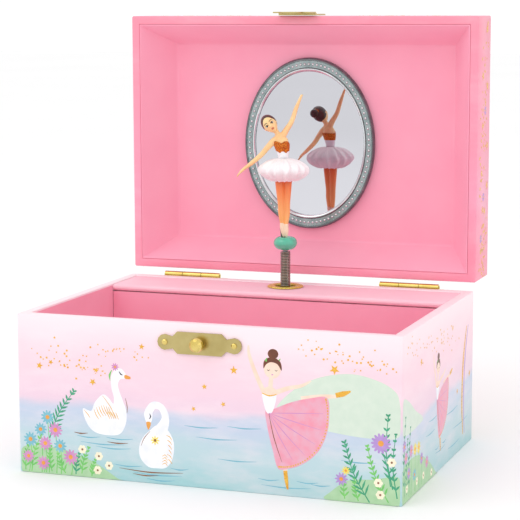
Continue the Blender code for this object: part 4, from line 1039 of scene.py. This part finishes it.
def print_lid_sides():
    """Foil stars and dots, and three small flowers, on the lid's left and right walls."""
    for name, side in (("lid_right_print", 1), ("lid_left_print", -1)):
        page = Print(
            name, "lid",
            lambda u, v, d, side=side: (side * (HALF_W + d), LID_PAGE_Y + side * u, v),
            LID_PAGE_HALF,
        )
        page.stars((
            (4.6, 176.6, 2.3), (-2.6, 156.4, 2.1), (6, 151.8, 2.2), (-2, 135, 1.8),
            (6.8, 126, 2), (-3, 114.5, 1.9), (7.4, 108.6, 2), (3.2, 97.6, 1.9),
        ), 0.3)
        for u, v in ((2.6, 141.4), (1, 104), (-2.6, 86)):
            page.flower("petal_lilac", u, v, 1.9, 9)
        page.star(-0.4, 98.4, 1.8, 0.2)
        page.star_drift(21 + side, (0, 70), (2, 92), 3.2, 60, LID_DOTS)
        page.star_drift(31 + side, (-4, 104), (4, 176), 2.8, 70, LID_DOTS)
        page.finish()


def print_lid_ends():
    """Foil stars and dots on the lid's front wall, on top as it stands open, and its rear wall."""
    for name, side in (("lid_front_print", 1), ("lid_rear_print", -1)):
        page = Print(
            name, "lid",
            lambda u, v, d, side=side: (
                side * u, LID_PAGE_Y + v, LID_MIDDLE + side * (LID_HALF + d)
            ),
            low=-LID_PAGE_HALF,
        )
        page.star_drift(41 + side, (-74, 0), (-22, 4), 2.6, 40)
        page.star_drift(43 + side, (22, 4), (74, 0), 2.6, 40)
        page.stars(((-58, 4, 1.6), (-34, -5, 1.6), (36, 5, 1.6), (60, -4, 1.6)), 0.2)
        page.finish()


def print_lid_board():
    """A wreath of flowers and ferns round foil stars on the outer board."""
    page = Print("lid_top_print", "lid", lambda u, v, d: (-u, LID_BACK + d, LID_MIDDLE + v), low=-56)
    rng = random.Random(12)
    petals = ("petal_pink", "petal_lilac", "petal_teal", "petal_yellow")
    for k, (cos, sin) in enumerate(circle(34)):
        u, v = WREATH_U * cos, WREATH_V * sin
        if k % 2:
            ink = "leaf_dark" if k % 4 == 1 else "leaf_light"
            page.fern(ink, (u * 0.96, v * 0.96), (u * 1.17, v * 1.17), 6, 3.2)
        else:
            page.flower(petals[k % 4], u, v, rng.uniform(2.6, 3.6), 11)
            page.daisies(1.7, ((u * 1.16, v * 1.16),))
    for _ in range(90):
        angle, reach = rng.uniform(0, 2 * math.pi), rng.uniform(0.05, 0.86) ** 0.7
        u, v = 50 * reach * math.cos(angle), 33 * reach * math.sin(angle)
        page.disc("gold", u, v, rng.choice((0.25, 0.35, 0.5)), 8)
    page.star(0, 0, 9)
    for k in range(5):
        angle = math.pi / 2 + 2 * math.pi * (k + 0.5) / 5
        page.star(15 * math.cos(angle), 12 * math.sin(angle), 2.4, 0.3 * k)
    page.finish()


# Doll -------------------------------------------------------------------------------------------

DOLL_TURN = math.radians(19.9)
UP = Vector((0, 0, 1))
ACROSS = Vector((math.cos(DOLL_TURN), math.sin(DOLL_TURN), 0))
FORE = Vector((math.sin(DOLL_TURN), -math.cos(DOLL_TURN), 0))


def doll_point(across, height, fore=0.0):
    """A point in mm from the doll's own directions: across it, up, and towards its front."""
    return Vector((AXIS_X, AXIS_Y, height)) + ACROSS * across + FORE * fore


HEAD_UP = (UP * 0.763 - ACROSS * 0.647).normalized()
HEAD_SIDE = HEAD_UP.cross(FORE).normalized()
HEAD = doll_point(-6.6, 135.7, 0.5)


def head_point(side, up, fore):
    return HEAD + HEAD_SIDE * side + HEAD_UP * up + FORE * fore


def limb(bm, joints, flat=1.0, steps=5):
    """A smooth limb through (across, height, fore, radius) joints."""
    line = catmull(joints, steps)
    points = [doll_point(across, height, fore) for across, height, fore, _ in line]
    tube_between(bm, points, [radius for *_, radius in line], FORE, flat)


def head_ball(bm, centre, half_side, half_up, half_fore, chin=0.0, sides=28, rings=20):
    """An egg in the head's own directions; chin narrows its lower half."""
    loops = []
    for ring in range(1, rings):
        up = math.cos(math.pi * ring / rings)
        reach = math.sin(math.pi * ring / rings)
        narrow = 1 - chin * max(0, -up) ** 1.4
        across = half_side * narrow * reach
        deep = half_fore * (narrow * 0.5 + 0.5) * reach
        loops.append([
            head_point(centre[0] + across * cos, centre[1] + half_up * up, centre[2] + deep * sin)
            for cos, sin in circle(sides)
        ])
    loft(bm, loops)


def fused(name, bm, material, voxel, rounds):
    """A part of the doll whose overlapping solids are melted into one clean skin."""
    obj = piece(name, bm, None, material)
    remesh = obj.modifiers.new("fuse", "REMESH")
    remesh.mode = "VOXEL"
    remesh.voxel_size = voxel * MM
    smooth = obj.modifiers.new("soften", "SMOOTH")
    smooth.factor = 0.5
    smooth.iterations = rounds
    apply_modifiers(obj)
    obj.data.shade_smooth()
    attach(obj, "figure")
    return obj


def doll_skin():
    """Head, neck, chest, arms and fingers in one skin."""
    bm = bmesh.new()
    head_ball(bm, (0, 0, 0), 3.05, 4.15, 3.35, 0.32)
    for side in (-1, 1):
        head_ball(bm, (side * 2.95, -0.5, -0.2), 0.3, 0.62, 0.45, sides=10, rings=8)
    nose = [head_point(0, up, fore) for up, fore in ((0.35, 3.1), (-0.45, 3.42), (-0.8, 3.5))]
    tube_between(bm, nose, (0.22, 0.3, 0.4), FORE, sides=10)
    neck = [(-5, 134, 0.1, 1.35), (-3.9, 132.6, 0, 1.15), (-3, 131.2, 0, 1.25), (-2.4, 129.8, 0, 2)]
    chest = [
        (-2.3, 129.6, 0, 2.6), (-1.8, 128, 0.1, 3.3), (-1.3, 125.4, 0.1, 2.9), (-0.9, 122.6, 0, 2),
        (-0.8, 121, 0, 1.9),
    ]
    raised_arm = [
        (-2.9, 130.3, 0, 1.4), (-0.9, 131.2, 0, 1.5), (0.4, 133.2, 0.1, 1.3), (2.8, 137.1, 0.5, 1.08),
        (4.6, 142.4, 0.8, 0.92), (5.9, 145.6, 0.9, 0.66), (6.5, 147, 0.9, 0.62),
    ]
    lowered_arm = [
        (-3.2, 129.6, 0, 1.5), (-5.2, 128.3, 0, 1.5), (-7.8, 125.6, 0.2, 1.25), (-10.7, 122.3, 0.5, 1.12),
        (-14.8, 118.9, 0.8, 0.95), (-18, 116.5, 0.9, 0.68), (-19.2, 115.4, 0.9, 0.66),
    ]
    limb(bm, neck)
    limb(bm, chest, 0.66)
    limb(bm, raised_arm, 0.95)
    limb(bm, lowered_arm, 0.95)
    for side, fore in ((-0.35, 0.2), (0.05, 0.5), (0.4, 0)):
        near, far = 0.9 + fore * 0.3, 0.9 + fore
        limb(bm, [(6.5 + side * 0.4, 147, near, 0.36), (7.1 + side, 148.5, far, 0.24)], steps=2)
        knuckle = (-19.2, 115.4 + side * 0.4, near, 0.36)
        limb(bm, [knuckle, (-20.8 + side * 0.4, 113.6 + side, far, 0.24)], steps=2)
    skin = fused("doll_skin", bm, SKIN, 0.2, 3)
    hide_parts("ballerina_doll")
    return skin


def on_face(skin, side, up, lift=0.0):
    """The point of the doll's face at that place, in mm."""
    hit, place, _, _ = skin.ray_cast(head_point(side, up, 9) * MM, -FORE)
    return place / MM + FORE * lift if hit else head_point(side, up, 3)


def face_line(skin, bm, middle, up, half, bow, lift, radii):
    """A line painted across the face, bowed upwards in its middle."""
    line = [
        on_face(skin, middle + half * t, up + bow * (1 - t * t), lift) for t in (-1, -0.5, 0, 0.5, 1)
    ]
    tube_between(bm, line, radii, FORE, sides=8)


def doll_face(skin):
    """Eyes, brows and mouth painted on the face."""
    white, dark, mouth = bmesh.new(), bmesh.new(), bmesh.new()
    for middle in (-1.32, 1.32):
        eye = on_face(skin, middle, 0.25)
        for bm, half_side, half_up, push in ((white, 0.66, 0.38, 0), (dark, 0.44, 0.38, 0.06)):
            loft(bm, [
                [
                    eye + FORE * (depth + push)
                    + HEAD_SIDE * half_side * share * cos + HEAD_UP * half_up * share * sin
                    for cos, sin in circle(16)
                ]
                for depth, share in ((-0.12, 1), (0.04, 0.96), (0.1, 0.6))
            ])
        face_line(skin, dark, middle, 0.42, 0.75, 0.3, 0.05, (0.08, 0.16, 0.19, 0.17, 0.09))
        face_line(skin, dark, middle, 1.32, 0.85, 0.28, 0.03, (0.07, 0.13, 0.15, 0.13, 0.07))
    for up, bow in ((-1.78, 0.12), (-2.02, -0.14)):
        face_line(skin, mouth, 0, up, 0.62, bow, 0.04, (0.07, 0.16, 0.19, 0.16, 0.07))
    piece("doll_eye_whites", white, "figure", EYE_WHITE)
    piece("doll_eyes_and_brows", dark, "figure", EYE)
    piece("doll_lips", mouth, "figure", LIPS)


GROOVES = 26
GROOVE_DEEP = 0.045


def doll_hair():
    """Hair drawn back from the face into a bun, with fine grooves, and a glitter band."""
    bm = bmesh.new()
    head_ball(bm, (0, 0.55, -0.75), 3.34, 4.1, 3.6, 0.12, 40, 26)
    head_ball(bm, (0, 1.2, -4.4), 2.1, 2, 1.7, sides=36, rings=20)
    for vert in bm.verts:
        local = vert.co / MM - HEAD
        angle = math.atan2(local.dot(HEAD_SIDE), local.dot(HEAD_UP) + 0.01)
        vert.co += local.normalized() * GROOVE_DEEP * math.sin(angle * GROOVES) * MM
    hair = piece("doll_hair", bm, "figure", HAIR)
    subdivide = hair.modifiers.new("round", "SUBSURF")
    subdivide.levels = subdivide.render_levels = 1
    bm = bmesh.new()
    steps = circle(28)
    ring = [head_point(2.0 * cos, 1.1 + 1.9 * sin, -3.5) for cos, sin in steps + steps[:1]]
    tube_between(bm, ring, [0.22] * len(ring), FORE, sides=8)
    piece("doll_hair_band", bm, "figure", GLITTER)


def doll_legs():
    """Legs, shoes and the post that holds the shoes on the bead."""
    foot = corners("doll_bead")[1][2] - 0.15
    legs, shoes, post = bmesh.new(), bmesh.new(), bmesh.new()
    limb(legs, [
        (-2.5, 116.5, 0.1, 2.1), (-2.5, 110.5, 0.2, 1.9), (-2.1, 104, 0.3, 1.55),
        (-1.9, 101, 0.35, 1.4), (-1.8, 97, 0.2, 1.32), (-1.5, 92.8, 0.1, 0.86), (-1.4, 91, 0.2, 0.8),
    ])
    limb(legs, [
        (1, 116.5, -0.1, 2.1), (1, 110.5, -0.1, 1.9), (0.8, 104, 0, 1.55),
        (0.7, 101, 0.05, 1.4), (0.75, 97, -0.1, 1.32), (0.5, 92.8, 0.4, 0.86), (0.4, 91, 0.6, 0.8),
    ])
    limb(shoes, [
        (-1.5, 92.6, 0.1, 0.92), (-1.4, 91.2, 0.3, 1), (-1.1, 89.2, 0.5, 0.95),
        (-0.7, foot + 0.5, 0.5, 0.55),
    ])
    limb(shoes, [
        (0.5, 92.2, 0.4, 0.92), (0.45, 90.8, 0.7, 1), (0.5, 89, 1, 0.95), (0.5, foot + 0.5, 1.1, 0.55),
    ])
    limb(post, [(-0.9, foot - 1, -0.3, 1.1), (-1.3, 88, -0.4, 0.75), (-1.9, 90.2, -0.5, 0.5)])
    fused("doll_legs", legs, TIGHTS, 0.22, 2)
    fused("doll_shoes", shoes, SHOES, 0.18, 2)
    piece("doll_post", post, "figure", DARK_TEAL)


# Height, middle and half width of the torso, from the waist up.
TORSO = (
    (120.6, -0.8, 1.9), (121.6, -0.8, 1.95), (123.4, -1, 2.35), (125.6, -1.3, 2.95),
    (127.2, -1.6, 3.25), (128.8, -2, 3.1), (130, -2.3, 2.7),
)
TORSO_SIDES = 64


def bell(value, middle, width):
    """A smooth bump, 1 at the middle."""
    return math.exp(-(((value - middle) / width) ** 2))


def torso_ring(height, grow, lift=None):
    """A ring round the torso at a height, grown outwards; lift bends it by cosine and sine."""
    ring = []
    for cos, sin in circle(TORSO_SIDES):
        z = height + (lift(cos, sin) if lift else 0)
        for (z0, middle0, half0), (z1, middle1, half1) in zip(TORSO, TORSO[1:]):
            if z <= z1:
                break
        share = min(max((z - z0) / (z1 - z0), 0), 1)
        middle = middle0 + (middle1 - middle0) * share
        half = half0 + (half1 - half0) * share
        bust = 0.55 * bell(z, 126.6, 1.3) * bell(abs(cos), 0.48, 0.3) if sin > 0 else 0.0
        ring.append(doll_point(middle + (half + grow) * cos, z, (half * 0.68 + grow + bust) * sin + 0.1))
    return ring


def doll_bodice():
    """Glitter bodice with a sweetheart neckline, over a white waist."""

    def bodice_ring(share, grow):
        """A ring between the hem, with two points below the bust, and the neckline."""

        def lift(cos, sin):
            front = max(0, sin)
            neckline = 0.9 * front * abs(cos) * 2 - 0.35 * front - 0.6 * (1 - front)
            hem = -0.9 * front * bell(abs(cos), 0.5, 0.24)
            return share * neckline + (1 - share) * hem

        return torso_ring(124.2 + share * 3.9, grow, lift)

    loops = [bodice_ring(1 - step / 2, 0.1) for step in range(3)]
    loops += [bodice_ring(step / 9, 0.32) for step in range(10)]
    lofted("doll_bodice", loops, "figure", GLITTER, closed=True)
    loops = [torso_ring(z, 0.12) for z in (124.6, 120.9)]
    loops += [torso_ring(120.9 + 3.7 * k / 6, 0.24 + 0.03 * math.sin(k * 2)) for k in range(7)]
    lofted("doll_waist", loops, "figure", BODICE_WHITE, closed=True)


NET_THICK = 0.1
NET_SIDES = 168


def tutu_layer(name, stations, waves, wave_size, seed, made):
    """One gathered ring of net: (radius, height) stations from waist to rim, in soft folds."""
    rng = random.Random(seed)
    phases = [rng.uniform(0, 2 * math.pi) for _ in range(3)]
    line = catmull(stations, 6)
    inner, outer = line[0][0], line[-1][0]
    centre = doll_point(-0.7, 0)
    sheets = []
    for lift in (0, NET_THICK):
        rows = []
        for radius, height in line:
            share = ((radius - inner) / (outer - inner)) ** 1.3
            row = []
            for k, (cos, sin) in enumerate(circle(NET_SIDES)):
                angle = 2 * math.pi * k / NET_SIDES
                fold = (
                    math.sin(waves * angle + phases[0])
                    + 0.55 * math.sin(int(waves * 1.7) * angle + phases[1])
                    + 0.35 * math.sin(3 * angle + phases[2])
                )
                reach = radius * (1 + 0.018 * share * math.sin(waves * angle + phases[1]))
                z = height + wave_size * share * fold + lift
                row.append(centre + ACROSS * reach * cos + FORE * reach * sin + UP * z)
            rows.append(row)
        sheets.append(rows)
    layer = lofted(name, sheets[0] + sheets[1][::-1], "figure", made, closed=True)
    return layer


def doll_tutu():
    """Four layers of skirt; the top one turns down and back in under its rim."""
    top = [
        (2.2, 121), (4.6, 120.5), (7.6, 119.3), (9.8, 117.6), (10.6, 116.1), (10, 114.5),
        (8, 112.7), (5.4, 111.3),
    ]
    middle = [(2.3, 119.9), (5, 119), (7.6, 117.7), (9.2, 116.4), (9.4, 115.4)]
    lower = [(2.4, 118.6), (4.8, 117.3), (6.8, 115.9), (7.8, 114.6), (7.6, 113.8)]
    under = [(4.2, 116.4), (5, 114.8), (5.6, 113.2), (5.4, 112.4)]
    skirt = tutu_layer("doll_tutu_top", top, 15, 0.14, 1, TULLE)
    tutu_layer("doll_tutu_middle", middle, 17, 0.1, 2, TULLE)
    tutu_layer("doll_tutu_lower", lower, 16, 0.16, 3, TULLE_INNER)
    tutu_layer("doll_tutu_under", under, 14, 0.1, 4, TULLE_INNER)
    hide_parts("doll_skirt")


def doll_bead():
    """Round bead with a rolled rim and a hollow top."""
    (low_x, _, low), (high_x, _, high) = corners("doll_bead")
    half = (high_x - low_x) / 2
    profile = [
        (0.01, 0), (1.9, 0), (3, 0.04), (4.2, 0.16), (half - 0.2, 0.36), (half, 0.52),
        (half - 0.2, 0.7), (4.2, 0.88), (3.1, 0.97), (2.2, 0.95), (1.2, 0.86), (0.01, 0.84),
    ]
    loops = []
    for radius, share in catmull(profile, 4):
        z = low + (high - low) * share
        reach = max(radius, 0.01)
        loops.append([(AXIS_X + reach * cos, AXIS_Y + reach * sin, z) for cos, sin in circle(48)])
    bead = lofted("doll_bead_round", loops, "figure", TEAL)
    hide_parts("doll_bead")


# Spring -----------------------------------------------------------------------------------------

WIRE = 0.31
HALF_TURNS = 11
WIRE_SIDES = 10
STEPS_PER_TURN = 28


def coil_half(name, low, high):
    """Half of the close-wound spring, wound between two heights."""
    (low_x, _, _), (high_x, _, _) = corners("doll_spring")
    radius = (high_x - low_x) / 2 - WIRE
    steps = HALF_TURNS * STEPS_PER_TURN
    loops = []
    for step in range(steps + 1):
        angle = 2 * math.pi * step / STEPS_PER_TURN
        out = Vector((math.cos(angle), math.sin(angle), 0))
        middle = Vector((AXIS_X, AXIS_Y, low + (high - low) * step / steps)) + out * radius
        loops.append([middle + out * WIRE * cos + UP * WIRE * sin for cos, sin in circle(WIRE_SIDES)])
    coil = lofted(name, loops, None, SPRING_STEEL)
    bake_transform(coil)
    return coil


def spring():
    """Lower and upper half of the coil."""
    (_, _, low), (_, _, high) = corners("doll_spring")
    low, high = low + WIRE, high - WIRE
    middle = (low + high) / 2
    lower = coil_half("doll_spring_lower", low, middle)
    coil_half("doll_spring_upper", middle, high)
    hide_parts("doll_spring")


# Carried-over nodes -----------------------------------------------------------------------------


def nodes_with(word):
    return [name for name in NODES if word in name]


# Material, width of the eased edges in mm, and the nodes.
NODE_LOOKS = (
    (PAPER, 0.3, ["bottom_board"]),
    (DEEP_LINING, 0, ["partition"]),
    (DEEP_LINING, 0.3, ["compartment_lining"]),
    (SHELF_PAPER, 0, ["movement_shelf"]),
    (EYELET_BRASS, 0, ["brass_eyelet"]),
    (GLASS, 0, ["mirror_glass"]),
    (AGED_BRASS, 0.12, ["clasp_plate", "hasp"]),
    (BRIGHT_BRASS, 0, ["clasp_knob"] + nodes_with("hinge_") + nodes_with("rivet")),
    (CASTING, 0.25, ["bedplate"]),
    (KEY_METAL, 0.2, ["winding_key"]),
    (MACHINED_BRASS, 0.1, ["governor_frame"]),
    (MACHINED_BRASS, 0, [
        "spring_barrel", "barrel_cover", "cylinder_wheel", "pinned_cylinder", "worm_wheel",
    ]),
    (STEEL, 0.1, ["doll_peg"]),
    (STEEL, 0, nodes_with("screw") + [
        "comb", "stop_wire", "spindle", "winding_arbor", "mainspring", "cylinder_arbor",
        "governor_arbor", "governor_worm",
    ]),
)


def dress_nodes():
    """Gives the nodes that are shown as they are their materials and eased edges."""
    for made, ease, names in NODE_LOOKS:
        for obj in (NODES[name] for name in names):
            if not obj.material_slots:
                obj.data.materials.append(made)
            for slot in obj.material_slots:
                slot.material = made
            if ease:
                bevel = obj.modifiers.new("eased", "BEVEL")
                bevel.width = ease * MM
                bevel.segments = 2
                bevel.limit_method = "ANGLE"


camera()
studio()
base_shell()
compartment_liner()
lid_shell()
lid_tray()
mirror()
print_front()
print_side("right_print", 1, 6)
print_side("left_print", -1, 7)
print_rear()
print_lid_sides()
print_lid_ends()
print_lid_board()
doll_face(doll_skin())
doll_hair()
doll_legs()
doll_bodice()
doll_tutu()
doll_bead()
spring()
dress_nodes()
